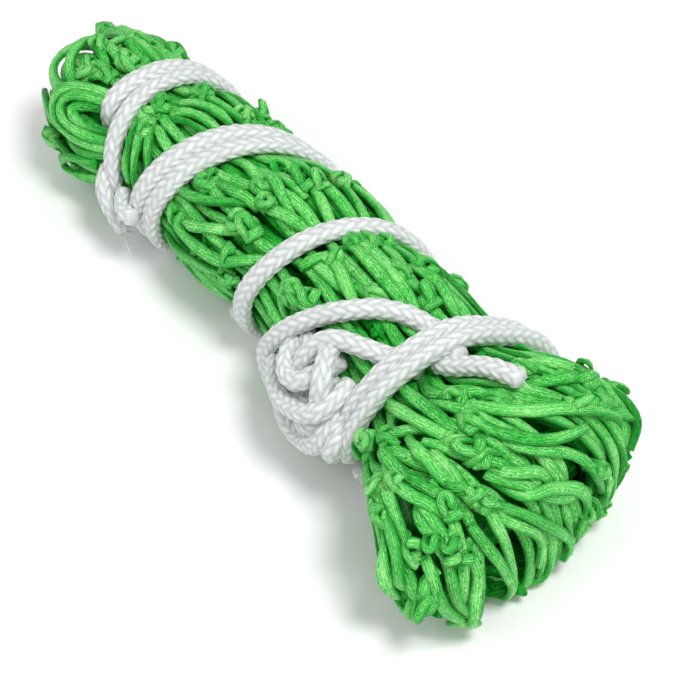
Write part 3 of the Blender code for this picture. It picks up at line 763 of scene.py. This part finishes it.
class Builder:
    """Collects the rings of many strands into one named piece."""

    def __init__(self, name, material, section):
        self.name, self.material, self.section = name, material, section
        self.verts, self.quads, self.tris, self.uv_quads, self.uv_tris = [], [], [], [], []
        self.attributes = {}
        self.count = 0

    def add(self, verts, u, attributes, cap_start=True, cap_end=True):
        """Adds a strand: its rings of vertices, the run u of each ring, and values for its vertices."""
        rings, sides = verts.shape[:2]
        k = np.arange(sides)
        k2 = (k + 1) % sides
        i = np.arange(rings - 1)[:, None] * sides + self.count
        self.quads.append(np.stack([i + k, i + k2, i + sides + k2, i + sides + k], -1).reshape(-1, 4))
        v = np.arange(sides + 1) / sides
        u0, u1 = np.repeat(u[:-1], sides), np.repeat(u[1:], sides)
        v0, v1 = np.tile(v[:-1], rings - 1), np.tile(v[1:], rings - 1)
        self.uv_quads.append(np.stack([u0, v0, u0, v1, u1, v1, u1, v0], -1).reshape(-1, 2))
        middles = []
        for cap, ring, a, b in ((cap_start, 0, k2, k), (cap_end, rings - 1, k, k2)):
            if cap:
                start = self.count + ring * sides
                middle = np.full(sides, self.count + rings * sides + len(middles))
                middles.append(verts[ring].mean(0))
                self.tris.append(np.stack([start + a, start + b, middle], -1))
                uc = np.full(sides, u[ring])
                self.uv_tris.append(np.stack([uc, v[:-1], uc, v[1:], uc, v[:-1]], -1).reshape(-1, 2))
        total = np.vstack([verts.reshape(-1, 3)] + middles)
        total[:, 2] = np.maximum(total[:, 2], 0.05)
        for name, value in attributes.items():
            values = np.broadcast_to(value, (rings, sides)).ravel()
            values = np.append(values, [values[:sides].mean()] * len(middles))
            self.attributes.setdefault(name, []).append(values)
        self.verts.append(total)
        self.count += len(total)

    def build(self):
        verts = np.vstack(self.verts) * MM
        quads = np.vstack(self.quads)
        tris = np.vstack([*self.tris, np.zeros((0, 3), int)])
        faces = len(quads) + len(tris)
        corners = np.concatenate([quads.ravel(), tris.ravel()])
        starts = np.concatenate([np.arange(len(quads)) * 4, len(quads) * 4 + np.arange(len(tris)) * 3])
        mesh = bpy.data.meshes.new(self.name)
        mesh.vertices.add(len(verts))
        mesh.vertices.foreach_set("co", verts.astype(np.float32).ravel())
        mesh.loops.add(len(corners))
        mesh.loops.foreach_set("vertex_index", corners.astype(np.int32))
        mesh.polygons.add(faces)
        mesh.polygons.foreach_set("loop_start", starts.astype(np.int32))
        mesh.update(calc_edges=True)
        uv = np.vstack(self.uv_quads + self.uv_tris)
        mesh.uv_layers.new(name="UVMap").data.foreach_set("uv", uv.astype(np.float32).ravel())
        for name, parts in self.attributes.items():
            attribute = mesh.attributes.new(name, "FLOAT", "POINT")
            attribute.data.foreach_set("value", np.concatenate(parts).astype(np.float32))
        mesh.polygons.foreach_set("use_smooth", np.ones(faces, bool))
        mesh.validate()
        mesh.materials.append(self.material)
        return add_object(self.name, mesh)


PIECES = {}


def piece(name, material, section):
    """The builder of a piece, made when it is first asked for."""
    return PIECES.setdefault(name, Builder(name, material, section))


def net_piece(layer, section, kind):
    """The builder for the twines or knots of one layer on one section."""
    part = section if section in ("head", "body") else f"foot_{section}"
    return piece(f"net_{LAYERS[layer]['name']}_{part}_{kind}", TWINE_MATERIALS[layer], section)


def frames(points, normals):
    """Unit vectors across a line of points, and outward from it."""
    tangent = unit(np.gradient(points, axis=0))
    side = unit(np.cross(normals, tangent))
    return side, np.cross(tangent, side)


def tube(points, side, up, across, outwards):
    """Rings round a line of points, from each vertex's distance across it and outward."""
    return points[:, None] + side[:, None] * across[..., None] + up[:, None] * outwards[..., None]


def past_split(points):
    """How far points lie past the plane where the head's pieces end and the rest begins."""
    return points[..., 0] - SPLIT_PLANE[0] - SPLIT_PLANE[1] * points[..., 1]


def stretches(zone):
    """First and last ring of each stretch of a strand that stays in one zone."""
    cuts = [0, *(np.flatnonzero(np.diff(zone)) + 1), len(zone) - 1]
    return [(a, b) for a, b in zip(cuts, cuts[1:]) if b > a]


def twine_rings(point, normal, width, thick, sides, swelling, phase):
    """Rings of a flattened braided twine along a line of points, and the run of each."""
    side, up = frames(point, normal)
    angle = 2 * np.pi * np.arange(sides) / sides
    cx, cz = [np.sign(c) * np.abs(c) ** 0.82 for c in (np.cos(angle), np.sin(angle))]
    run = length_along(point)
    ripple = 1.0 + 0.05 * np.sin(run / 4.1 + phase) + 0.04 * np.sin(run / 1.7 + 2.3 * phase)
    half_w = 0.5 * width * ripple * swelling
    half_t = 0.5 * thick * (1.0 + 0.05 * np.sin(run / 3.0 + 1.7 * phase)) * (1.0 + 0.55 * (1.0 - swelling))
    ridge = 1.0 + 0.03 * np.cos(2 * np.pi * run[:, None] / 2.3 + phase + 3.0 * np.abs(cx))
    hollow = 1.0 - 0.16 * np.exp(-(cx / 0.35) ** 2)
    return tube(point, side, up, half_w[:, None] * cx * ridge, half_t[:, None] * (cz * hollow) * ridge), run


def lobe_of(point):
    """Number of the foot fold, 1 to 8, that a point lies in."""
    w, h, cy, cz = envelope(77.0)
    up = (point[2] - cz) / (h + SAG if point[2] < cz else h)
    angle = math.degrees(math.atan2(up, (point[1] - cy) / w))
    angle = (angle - FOOT_FOLDS[0]) % 360.0 + FOOT_FOLDS[0]
    return int(np.clip(np.searchsorted(FOOT_FOLDS, angle, "right"), 1, 8))


TWINE_SIDES = 16
KNOT_SIDES = 12


def lobe_of_bar(bar, s):
    """The foot fold that a bar lies in, judged by the part of it that is well out on the foot."""
    ahead = bar[(bar[:, 0] > 74) & (bar[:, 2] > 8)]
    if len(ahead):
        return lobe_of(ahead.mean(0))
    low = np.where(s > 76)[0]
    return lobe_of(bar[low[len(low) // 2] if len(low) else len(bar) // 2])


def make_twines():
    for number, t in enumerate(TWINES):
        layer = LAYERS[t["layer"]]
        columns = [t["point"], t["normal"], t["s"][:, None] * 0.01, t["swell"][:, None]]
        fine = resample(np.hstack(columns), 1.0)
        point = smooth_rows(fine[:, :3], 2)
        s, swelling = fine[:, 6] * 100.0, fine[:, 7]
        bends = 3 + len(point) // 14
        roll = np.interp(np.arange(len(point)), np.linspace(0, len(point), bends), RNG.normal(0, 0.42, bends))
        side, up = frames(point, smooth_rows(fine[:, 3:6], 3))
        normal = up * np.cos(roll)[:, None] + side * np.sin(roll)[:, None]
        width = layer["width"] * RNG.uniform(0.9, 1.06)
        phase = RNG.uniform(0, 6)
        verts, run = twine_rings(point, normal, width, layer["thick"], TWINE_SIDES, swelling, phase)
        tone = RNG.uniform(0, 1)
        zone = np.where(past_split(point) < 0, 0, np.where(s < LOBE_SPLIT, 1, 2))
        for a, b in stretches(zone):
            section = ("head", "body", None)[zone[a]]
            if section is None:
                section = lobe_of_bar(point[a:b], s[a:b])
            net_piece(t["layer"], section, "twines").add(
                verts[a:b + 1], run[a:b + 1] + 37.0 * number, {"tone": tone}, a == 0, b == len(zone) - 1)


def knot_place(knot):
    """Centre of a knot and the outward normal there."""
    if "x" in knot:
        spot, above = on_hank(np.full(2, knot["x"]), np.full(2, knot["degrees"]), np.array([0.1, 1.1]))
        return spot, unit(above - spot)
    spot, normal = place(*(np.array([knot[key]]) for key in ("s", "phi", "depth")))
    return spot[0], normal[0]


def knot_curves():
    """Short lengths of twine that make one knot, in its own frame: along, across, up; and their widths."""
    curves = []
    for sign in (-1.0, 1.0):
        theta = np.linspace(RNG.uniform(-0.5, 0.5), 2 * np.pi * 1.06, 30)
        tilt = RNG.uniform(0.5, 1.2)
        wrap = (sign * (0.95 + tilt * np.sin(theta + 0.4)), 2.15 * np.cos(theta), 1.5 * np.sin(theta) + 0.15)
        curves.append((np.stack(wrap, -1), 2.9, 1.35))
    lean = RNG.uniform(-0.7, 0.7)
    if RNG.random() < 0.84:
        arch = ((-3.6, -1.0, -0.5), (-2.3, -1.1 + lean, 1.1), (-0.3, -0.4 + lean, 2.3),
                (1.6, 0.5 - lean, 2.1), (2.9, 1.1, 0.9), (3.8, 1.2, -0.5))
    else:
        arch = ((-1.2, -1.5, 0.4), (-0.4, -1.5 + lean, 2.3), (1.6, -1.2 + lean, 3.7), (3.1, lean, 4.1),
                (2.6, 1.2 + lean, 3.5), (0.6, 1.5, 2.2), (-0.6, 1.5, 0.4))
    return curves + [(spline(arch, 0.5), 2.5, 1.3)]


# On top of the foot most of the knots of the layers stay hidden under the loose bars.
SPARSE_FROM = 60.0
SPARSE_SHARE = 0.7


def make_knots():
    strands = [[t["point"] for t in TWINES if t["layer"] == k] for k in range(len(LAYERS))]
    points = [np.vstack(lines) for lines in strands]
    ways = [np.vstack([np.gradient(line, axis=0) for line in lines]) for lines in strands]
    for knot in KNOTS:
        index = knot["layer"]
        if not LAYERS[index]["knots"]:
            continue
        on_foot = knot.get("s", 0.0) > SPARSE_FROM and 15.0 < knot["phi"] % 360.0 < 200.0
        if on_foot and RNG.random() < SPARSE_SHARE:
            continue
        # The knot goes where the twines have ended up, if they are still near.
        target, normal = knot_place(knot)
        close = np.argsort(np.linalg.norm(points[index] - target, axis=1))[:3]
        centre = points[index][close].mean(0)
        if np.linalg.norm(centre - target) > KNOT_SNAP:
            centre = target
        if cord_distance(centre) < KNOT_CORD_GAP:
            continue
        along = ways[index][close[0]]
        along = unit(along - normal * (along @ normal))
        turn = RNG.normal(0.0, 0.3)
        along = along * math.cos(turn) + np.cross(normal, along) * math.sin(turn)
        size = RNG.uniform(0.88, 1.12)
        flip = 1.0 if RNG.random() < 0.5 else -1.0
        axes = np.array((flip * along, np.cross(normal, along), normal))
        if past_split(centre) < 0:
            section = "head"
        else:
            section = "body" if knot.get("s", centre[0]) < LOBE_SPLIT else lobe_of(centre)
        builder = net_piece(index, section, "knots")
        tone = RNG.uniform(0, 1)
        for curve, wide, tall in knot_curves():
            curve = curve * size
            line = centre + curve @ axes
            line[:, 2] = np.maximum(line[:, 2], 1.0)
            away = unit(line - (centre + 0.8 * curve[:, :1] * axes[0]))
            even = np.ones(len(line))
            phase = RNG.uniform(0, 6)
            verts, run = twine_rings(line, away, wide * size, tall * size, KNOT_SIDES, even, phase)
            builder.add(verts, run + 91.0 * RNG.random(), {"tone": tone})


# ------------------------------------------------------------------ cord mesh

CORD_SIDES = 40
CORD_RING = 0.42
CARRIERS = 8
BRAID_LEAD = 27.0
# The two strands of the doubled last turn squeeze each other narrow; the other turns are pressed flat.
FLATTEN = {"front": 0.12, "rear": 0.12, "four_front": -0.10, "four_rear": -0.10}


def braid_height(u, v):
    """Height of a 16-carrier braid at length u and turn v, and which set of plaits is on top."""
    a = CARRIERS * (v + u / BRAID_LEAD)
    b = CARRIERS * (v - u / BRAID_LEAD)
    i, j = np.floor(a), np.floor(b)
    cell = np.mod(i + j, 4)
    over = cell < 2
    # Each plait's run over its two neighbours is one arch.
    across = np.where(over, a - i, b - j)
    along = np.where(over, (b - j + cell) / 2.0, (a - i + np.mod(cell, 2)) / 2.0)
    round_across = np.sin(np.pi * np.clip(across, 0, 1)) ** 0.8
    arch = np.sin(np.pi * np.clip(along, 0, 1)) ** 0.9
    # Each plait stands a little higher or lower than the next.
    plait = np.floor((i - j) / 2.0) + np.where(over, 3.0 * np.mod(i, CARRIERS), 5.0 * np.mod(j, CARRIERS))
    uneven = np.mod(np.sin(plait * 12.9898) * 437.585, 1.0)
    return round_across * (0.22 + (0.52 + 0.40 * uneven) * arch), over.astype(float)


def cord_rings(line, start_u, flatten):
    """Rings of one strand of cord, with each ring's centre and run and each vertex's relief and plait."""
    points = resample(smooth_rows(line, 2), CORD_RING)
    side, up = frames(points, smooth_rows(outward(points), 6))
    run = length_along(points) + start_u
    v = np.arange(CORD_SIDES) / CORD_SIDES
    twist = 0.06 * np.sin(run / 17.0)
    height, over = braid_height(run[:, None], (v + twist[:, None]) % 1.0)
    # The braid is fused smooth and a little narrower at a cut end.
    cut_gap = smooth(np.minimum(run - run[0], run[-1] - run) / 1.1)[:, None]
    relief = 0.5 + (height - 0.5) * cut_gap
    radius = (CORD_RADIUS - 0.28 + 0.42 * relief) * (1.0 - 0.13 * (1.0 - cut_gap) ** 2)
    across = radius * np.cos(2 * np.pi * v) * (1.03 + flatten)
    verts = tube(points, side, up, across, radius * np.sin(2 * np.pi * v) * (0.97 - flatten))
    return points, verts, run, relief, over


def make_cord():
    start_u = 0.0
    for name, line in CORD_STRANDS.items():
        points, verts, run, relief, over = cord_rings(line, start_u, FLATTEN.get(name, 0.0))
        start_u = run[-1] + 40.0
        tone = RNG.uniform(0, 1)
        group = "knot" if name.startswith("knot") else name if name.endswith("_tail") else None
        zone = np.where(past_split(points) < 0, 0, 1) if group is None else np.zeros(len(points))
        for a, b in stretches(zone):
            section = group or ("head", "rest")[int(zone[a])]
            builder = piece(f"cord_{section}" + ("" if group else f"_{name}"), CORD, section)
            # The relief also sets the painted shade in the gaps between plaits.
            values = {"tone": tone, "rise": relief[a:b + 1], "over": over[a:b + 1]}
            builder.add(verts[a:b + 1], run[a:b + 1], values, a == 0, b == len(zone) - 1)


# Cut ends that fray, by strand: its piece, the number of filaments, their length, how far they splay.
FRAYED = {"low_length": ("cord_head_low_length", 16, 4.6, 0.45), "long_tail": ("cord_long_tail", 3, 2.6, 0.9)}
FILAMENT_RADIUS = 0.13
FILAMENT_SIDES = 6


def fray_ends():
    """Loose filaments at the cut ends of the cord."""
    angle = 2 * np.pi * np.arange(FILAMENT_SIDES)[None] / FILAMENT_SIDES
    for name, (piece_name, count, reach, splay) in FRAYED.items():
        line = CORD_STRANDS[name]
        way = unit(line[-1] - line[-3])
        for _ in range(count):
            drift = RNG.normal(0.0, splay, 3)
            start = line[-1] + RNG.normal(0.0, 0.9, 3) - 0.8 * way
            t = np.linspace(0.0, 1.0, 9)[:, None]
            points = start + reach * RNG.uniform(0.6, 1.1) * (t * way + t ** 2 * drift)
            points[:, 2] = np.maximum(points[:, 2], 0.3)
            side, up = frames(points, np.tile((0.1, 0.2, 1.0), (len(points), 1)))
            rings = tube(points, side, up, FILAMENT_RADIUS * np.cos(angle), FILAMENT_RADIUS * np.sin(angle))
            PIECES[piece_name].add(rings, t[:, 0] * reach, {"tone": 0.8, "rise": 0.8, "over": 0.8})


# ------------------------------------------------------------------ materials


def set_inputs(node, values):
    for name, value in values.items():
        node.inputs[name].default_value = value


class Nodes:
    """Short ways to add and join shader nodes."""

    def __init__(self, name):
        self.material = bpy.data.materials.new(name)
        self.material.use_nodes = True
        self.tree = self.material.node_tree
        self.shader = self.tree.nodes["Principled BSDF"]

    def add(self, kind, **settings):
        node = self.tree.nodes.new(kind)
        for key, value in settings.items():
            setattr(node, key, value)
        return node

    def link(self, source, target):
        self.tree.links.new(source, target)

    def feed(self, node, *values):
        """Sets or links a node's first inputs, and gives its first output."""
        for socket, value in zip(node.inputs, values):
            if hasattr(value, "default_value"):
                self.link(value, socket)
            else:
                socket.default_value = value
        return node.outputs[0]

    def math(self, operation, a, b=0.0, clamp=False):
        return self.feed(self.add("ShaderNodeMath", operation=operation, use_clamp=clamp), a, b)

    def mul(self, a, b):
        return self.math("MULTIPLY", a, b)

    def plus(self, a, b):
        return self.math("ADD", a, b)

    def vector(self, x, y, z=0.0):
        return self.feed(self.add("ShaderNodeCombineXYZ"), x, y, z)

    def attribute(self, name):
        return self.add("ShaderNodeAttribute", attribute_name=name).outputs["Fac"]

    def uv(self):
        split = self.add("ShaderNodeSeparateXYZ")
        self.link(self.add("ShaderNodeUVMap", uv_map="UVMap").outputs[0], split.inputs[0])
        return split.outputs[0], split.outputs[1]

    def noise(self, vector, detail, roughness=0.5):
        node = self.add("ShaderNodeTexNoise")
        self.link(vector, node.inputs["Vector"])
        set_inputs(node, {"Scale": 1.0, "Detail": detail, "Roughness": roughness})
        return node.outputs["Fac"]

    def filaments(self, u, around, tone, slope, stretch, fineness, seed, roughness):
        """Noise for two families of filaments that cross, each stretched along its own way."""
        families = []
        for sign in (1.0, -1.0):
            skew = self.plus(around, self.mul(u, slope * sign))
            spot = self.vector(self.mul(u, stretch), self.mul(skew, fineness), self.mul(tone, seed))
            families.append(self.noise(spot, 3.0, roughness))
        return families

    def colour(self, value, stops):
        """Colours the surface by a value, through a ramp."""
        node = self.add("ShaderNodeValToRGB")
        self.link(value, node.inputs["Fac"])
        ramp = node.color_ramp
        ramp.elements[0].position, ramp.elements[0].color = stops[0][0], (*stops[0][1], 1.0)
        ramp.elements[1].position, ramp.elements[1].color = stops[-1][0], (*stops[-1][1], 1.0)
        for position, colour in stops[1:-1]:
            ramp.elements.new(position).color = (*colour, 1.0)
        self.link(node.outputs["Color"], self.shader.inputs["Base Color"])

    def mix(self, factor, a, b):
        return self.plus(self.mul(a, self.math("SUBTRACT", 1.0, factor)), self.mul(b, factor))

    def bump(self, height, strength, distance):
        node = self.add("ShaderNodeBump")
        set_inputs(node, {"Strength": strength, "Distance": distance})
        self.link(height, node.inputs["Height"])
        self.link(node.outputs["Normal"], self.shader.inputs["Normal"])

    def roughness(self, low, fibres, share):
        self.link(self.plus(low, self.mul(fibres, share)), self.shader.inputs["Roughness"])


def twine_material(name, dark, mid, light, painted_glint, gloss):
    """Green polyethylene twine: crossing filaments, fine ridges, long changes of tone, painted shade along
    the side edges of each bar and painted glints in its brightest flecks.
    """
    n = Nodes(name)
    u, v = n.uv()
    tone = n.attribute("tone")
    around = n.mul(v, 10.6)
    leaning = n.filaments(u, around, tone, slope=0.27, stretch=0.72, fineness=6.2, seed=31.0, roughness=0.62)
    lead, turn = n.mul(u, 2.2), n.mul(around, 2.37)
    plait = n.mul(n.math("SINE", n.plus(lead, turn)), n.math("SINE", n.math("SUBTRACT", lead, turn)))
    fibres = n.mix(n.math("ADD", n.mul(plait, 2.2), 0.5, clamp=True), *leaning)
    wander = n.noise(n.vector(n.mul(u, 0.16), n.mul(tone, 41.0)), 1.0)
    rows = n.plus(n.mul(around, 7.9), n.mul(wander, 8.0))
    ridges = n.mul(n.plus(n.math("SINE", rows), 1.0), 0.5)
    wide = n.noise(n.vector(n.mul(u, 0.09), n.mul(v, 2.0), n.mul(tone, 17.0)), 2.0)
    # Painted shade: the colour darkens towards the two side edges of each bar, where v is near 0 and 0.5.
    edge = n.math("POWER", n.math("ABSOLUTE", n.math("COSINE", n.mul(v, 2.0 * math.pi))), 3.0)
    value = n.plus(n.mul(fibres, 1.62), n.mul(wide, 0.45))
    value = n.plus(value, n.mul(ridges, 0.12))
    value = n.plus(value, n.plus(n.mul(tone, 0.14), -0.55))
    value = n.math("SUBTRACT", value, n.mul(edge, 0.20))
    # The brightest stop, reached where the filament noise is highest, is a painted glint.
    n.colour(value, ((0.30, dark), (0.54, mid), (0.76, light), (0.95, painted_glint)))
    height = n.plus(n.mul(fibres, 0.9), n.mul(n.math("ABSOLUTE", plait), 0.30))
    n.bump(n.plus(height, n.mul(ridges, 0.55)), 0.8, 0.00036)
    n.roughness(0.24, fibres, 0.25)
    set_inputs(n.shader, {
        "Specular IOR Level": gloss, "Specular Tint": (0.75, 1.0, 0.6, 1.0), "Sheen Weight": 0.12 * gloss,
        "Sheen Roughness": 0.4, "Sheen Tint": (0.7, 1.0, 0.6, 1.0), "Subsurface Weight": 0.15,
        "Subsurface Radius": (0.1, 1.0, 0.2), "Subsurface Scale": 0.0025})
    return n.material


def cord_material(name):
    """White braided cord: filaments that lean with the plait they belong to, with painted shade in the gaps
    between plaits and a slight green tint of painted bounce light from the netting.
    """
    n = Nodes(name)
    u, v = n.uv()
    rise, over, tone = (n.attribute(key) for key in ("rise", "over", "tone"))
    around = n.mul(v, 16.0)
    right, left = n.filaments(u, around, tone, slope=0.7, stretch=0.5, fineness=5.2, seed=23.0, roughness=0.6)
    fibres = n.mix(over, left, right)
    # Painted shade: the colour follows the braid's relief, darker in the gaps between plaits.
    value = n.plus(n.mul(fibres, 0.55), n.mul(rise, 0.5))
    # The slight green in all three colours is painted bounce light from the green netting.
    n.colour(value, ((0.24, (0.43, 0.48, 0.46)), (0.44, (0.61, 0.64, 0.63)), (0.74, (0.81, 0.83, 0.82))))
    n.bump(fibres, 0.6, 0.00030)
    n.roughness(0.34, fibres, 0.2)
    set_inputs(n.shader, {"Sheen Weight": 0.15, "Subsurface Weight": 0.25,
                          "Subsurface Radius": (1.0, 1.0, 1.0), "Subsurface Scale": 0.0015})
    return n.material


# Colours of each layer from the shade of its folds to its brightest flecks, which are painted glints, and its
# gloss. The second layer, the third layer and the core take darker copies of the outer green: painted shade
# from the layers over them.
TWINE_MATERIALS = (
    twine_material("twine_outer", (0.001, 0.215, 0.013), (0.036, 0.510, 0.062), (0.265, 0.830, 0.225),
                   (0.62, 1.00, 0.42), 0.24),
    twine_material("twine_inner_painted_shade", (0.0005, 0.165, 0.008), (0.006, 0.390, 0.026), (0.060, 0.640, 0.080),
                   (0.26, 0.88, 0.20), 0.12),
    twine_material("twine_deep_painted_shade", (0.0005, 0.130, 0.006), (0.002, 0.275, 0.018), (0.012, 0.440, 0.038),
                   (0.05, 0.58, 0.08), 0.06),
)
CORD = cord_material("drawcord_braid")

# ------------------------------------------------------------------ inner netting and loops

CORE_SIDES = 72
# Loose loops at the head: angles of the two feet, stations of feet and tip, depths there; then the root's X.
LOOPS = {
    "side": (((172, 196, -102.0, -115.6, 3.0, 4.5), (166, 201, -101.0, -113.0, 5.5, 7.0)), -108.5),
    "upper": (((92, 140, -103.0, -114.6, 2.4, 2.6), (101, 132, -102.0, -111.6, 5.0, 5.5)), -106.7),
    "back": (((8, 46, -100.0, -111.6, 2.6, 4.0), (14, 40, -99.0, -109.0, 5.0, 6.0)), -104.0),
}


def make_core():
    """Packed inner netting, in the darkest copy of the green: painted shade between the layers."""
    xs = np.arange(-102.0, 86.0, 1.5)
    v = np.arange(CORE_SIDES) / CORE_SIDES
    rings = []
    for x in xs:
        ends_in = 12.0 * (1 - float(smooth((x + 103.0) / 15.0))) ** 2 + 9.0 * float(smooth((x - 74.0) / 12.0))
        ripple = 0.7 * np.sin(2 * np.pi * (11 * v + 0.35 * np.sin(x / 19.0)))
        ripple += 0.5 * np.sin(2 * np.pi * (17 * v) + x / 13.0)
        ring = on_hank(np.full(CORE_SIDES, x), 360.0 * v, -10.2 - ends_in + ripple)
        ring[:, 2] = np.maximum(ring[:, 2], 4.0)
        rings.append(ring)
    split_at = int(np.searchsorted(xs, SPLIT_PLANE[0]))
    for section, low, high in (("head", 0, split_at), ("rest", split_at, len(xs) - 1)):
        # The core uses the darkest twine colours as painted shade.
        builder = piece(f"net_core_{section}", TWINE_MATERIALS[2], section)
        builder.add(np.array(rings[low:high + 1]), xs[low:high + 1], {"tone": 0.4})


def make_loops():
    """Loose loops of twine at the head, each out from one foot round its tip and back."""
    for name, (loops, _) in LOOPS.items():
        for phi_a, phi_b, foot_x, tip_x, depth_foot, depth_tip in loops:
            mid, half = 0.5 * (phi_a + phi_b), 0.5 * (phi_b - phi_a)
            way = []
            for t in np.linspace(-0.5, 1.0, 14):
                bend = max(t, 0.0) * math.pi / 2
                reach = math.sin(bend) if t > 0 else t * 0.8
                spread = half * math.cos(bend) ** 0.8
                depth = depth_foot + (depth_tip - depth_foot) * max(reach, 0)
                way.append((foot_x + reach * (tip_x - foot_x), mid - spread, -depth))
            back = [(x, 2 * mid - phi, lift) for x, phi, lift in reversed(way[:-1])]
            line = smooth_rows(resample(on_hank(*np.array(way + back).T), 0.9), 2)
            _, _, cy, cz = envelope(np.clip(line[:, 0], -112, 90))
            normal = line - np.stack([line[:, 0] + 6.0, cy, cz], -1)
            even = np.ones(len(line))
            rings, run = twine_rings(line, normal, 3.7, 2.0, TWINE_SIDES, even, RNG.uniform(0, 6))
            builder = piece(f"net_loop_{name}", TWINE_MATERIALS[0], "loop_" + name)
            builder.add(rings, run, {"tone": RNG.uniform(0, 1)})


# ------------------------------------------------------------------ assembly


def blend_line(waist):
    """Two points either side of a leaning waist, square to it."""
    x, lean = waist
    normal = np.array((1.0, -lean, 0.0)) / math.hypot(1.0, lean)
    centre = np.array((x, 0.0, 22.0))
    return tuple((centre - BLEND_HALF * normal) * MM), tuple((centre + BLEND_HALF * normal) * MM)


def along_x(start, end):
    return (start * MM, 0, 0), (end * MM, 0, 0)


# How the pieces of a section bend from one body to the next; the other sections ride on the main body.
BLENDS = {
    "head": ("head", "middle", *blend_line(HEAD_WAIST)),
    "body": ("middle", "main", *blend_line(MID_WAIST)),
    "rest": ("middle", "main", *blend_line(MID_WAIST)),
    "long_tail": ("main", "long_end", *along_x(57.5, 62.5)),
    "short_tail": ("main", "short_end", *along_x(51.5, 54.0)),
}
for k in range(1, 7):
    BLENDS[k] = ("main", f"foot_lobe_{k}", *along_x(70.0, 84.0))
for name, (_, root_x) in LOOPS.items():
    BLENDS["loop_" + name] = ("head", f"head_mouth_loop_{name}", *along_x(root_x + 3.0, root_x - 2.0))

# Which CAD nodes each shown piece stands for.
NODES = sorted(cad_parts)
STANDS_FOR = {
    "net_outer_head_twines": [n for n in NODES if n.startswith("head_fold")],
    "net_outer_body_twines": [n for n in NODES if n.startswith(("mid_fold", "main_fold"))],
    "net_core_head": ["head_core"],
    "net_core_rest": ["mid_core", "main_core", "foot_core"],
    "cord_head_front": ["cord_turn_1_front"],
    "cord_head_rear": ["cord_turn_1_rear"],
    "cord_rest_front": ["cord_turn_2_front"],
    "cord_rest_rear": ["cord_turn_2_rear", "cord_turn_3"],
    "cord_rest_four_front": ["cord_turn_4_front"],
    "cord_rest_four_rear": ["cord_turn_4_rear"],
    "cord_knot": ["knot_hitch", "knot_bight", "cord_lead_upper", "cord_lead_lower"],
    "cord_long_tail": ["cord_long_end"],
    "cord_short_tail": ["cord_short_end"],
}
STANDS_FOR.update({f"net_outer_foot_{k}_twines": [f"foot_fold_{k}"] for k in range(1, 9)})
STANDS_FOR.update({f"net_loop_{name}": [f"head_loop_{name}"] for name in LOOPS})

make_twines()
make_knots()
make_cord()
fray_ends()
make_core()
make_loops()
for name, builder in sorted(PIECES.items()):
    shown = builder.build()
    if builder.section in BLENDS:
        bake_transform(shown, *BLENDS[builder.section])
    else:
        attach(shown, "main")
    if name in STANDS_FOR:
        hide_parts(*STANDS_FOR[name])

# ------------------------------------------------------------------ floor, light, camera

FLOOR_HALF = 3.0
floor_mesh = bpy.data.meshes.new("floor")
floor_corners = [(x * FLOOR_HALF, y * FLOOR_HALF, 0) for x, y in ((-1, -1), (1, -1), (1, 1), (-1, 1))]
floor_mesh.from_pydata(floor_corners, [], [(0, 1, 2, 3)])
floor = add_object("floor", floor_mesh)
floor_material = bpy.data.materials.new("pale_floor")
floor_material.use_nodes = True
set_inputs(floor_material.node_tree.nodes["Principled BSDF"],
           {"Base Color": (0.93, 0.93, 0.93, 1.0), "Roughness": 0.8})
floor_mesh.materials.append(floor_material)

world = bpy.data.worlds.new("studio")
bpy.context.scene.world = world
world.use_nodes = True
set_inputs(world.node_tree.nodes["Background"], {"Color": (1.0, 1.0, 1.0, 1.0), "Strength": 0.60})


def area_light(name, location, target, size, power):
    data = bpy.data.lights.new(name, "AREA")
    data.shape = "DISK"
    data.size = size
    data.energy = power
    lamp = add_object(name, data)
    lamp.location = location
    lamp.rotation_euler = (Vector(target) - Vector(location)).to_track_quat("-Z", "Y").to_euler()


CAMERA_AZIMUTH, CAMERA_ELEVATION, CAMERA_DISTANCE = 49.5, 49.0, 0.600
CAMERA_TARGET = Vector((0.017, -0.013, 0.020))
SENSOR_WIDTH = 36.0
FOCAL_RATIO = 2290.0 / 700.0
azimuth, elevation = math.radians(CAMERA_AZIMUTH), math.radians(CAMERA_ELEVATION)
level = math.cos(elevation)
backward = Vector((math.sin(azimuth) * level, -math.cos(azimuth) * level, math.sin(elevation)))
rightward = Vector((math.cos(azimuth), math.sin(azimuth), 0.0))
upward = backward.cross(rightward)
camera_data = bpy.data.cameras.new("camera")
camera_data.sensor_width = SENSOR_WIDTH
camera_data.lens = FOCAL_RATIO * SENSOR_WIDTH
camera_data.clip_start = 0.01
camera = add_object("camera", camera_data)
turn = Matrix((rightward, upward, backward)).transposed()
camera.matrix_world = Matrix.Translation(CAMERA_TARGET + backward * CAMERA_DISTANCE) @ turn.to_4x4()
bpy.context.scene.camera = camera

# Each light: distance, how far back, right and up its direction goes, size and power.
for name, far, back, right, up, size, power in (("key", 0.75, 0.55, 0.35, 0.75, 0.30, 5.8),
                                                ("fill", 0.8, 0.5, -0.8, 0.5, 0.6, 1.6)):
    direction = back * backward + right * rightward + Vector((0, 0, up))
    area_light(name, CAMERA_TARGET + far * direction, CAMERA_TARGET, size, power)

bpy.context.scene.view_settings.view_transform = "Standard"
bpy.context.scene.view_settings.look = "None"
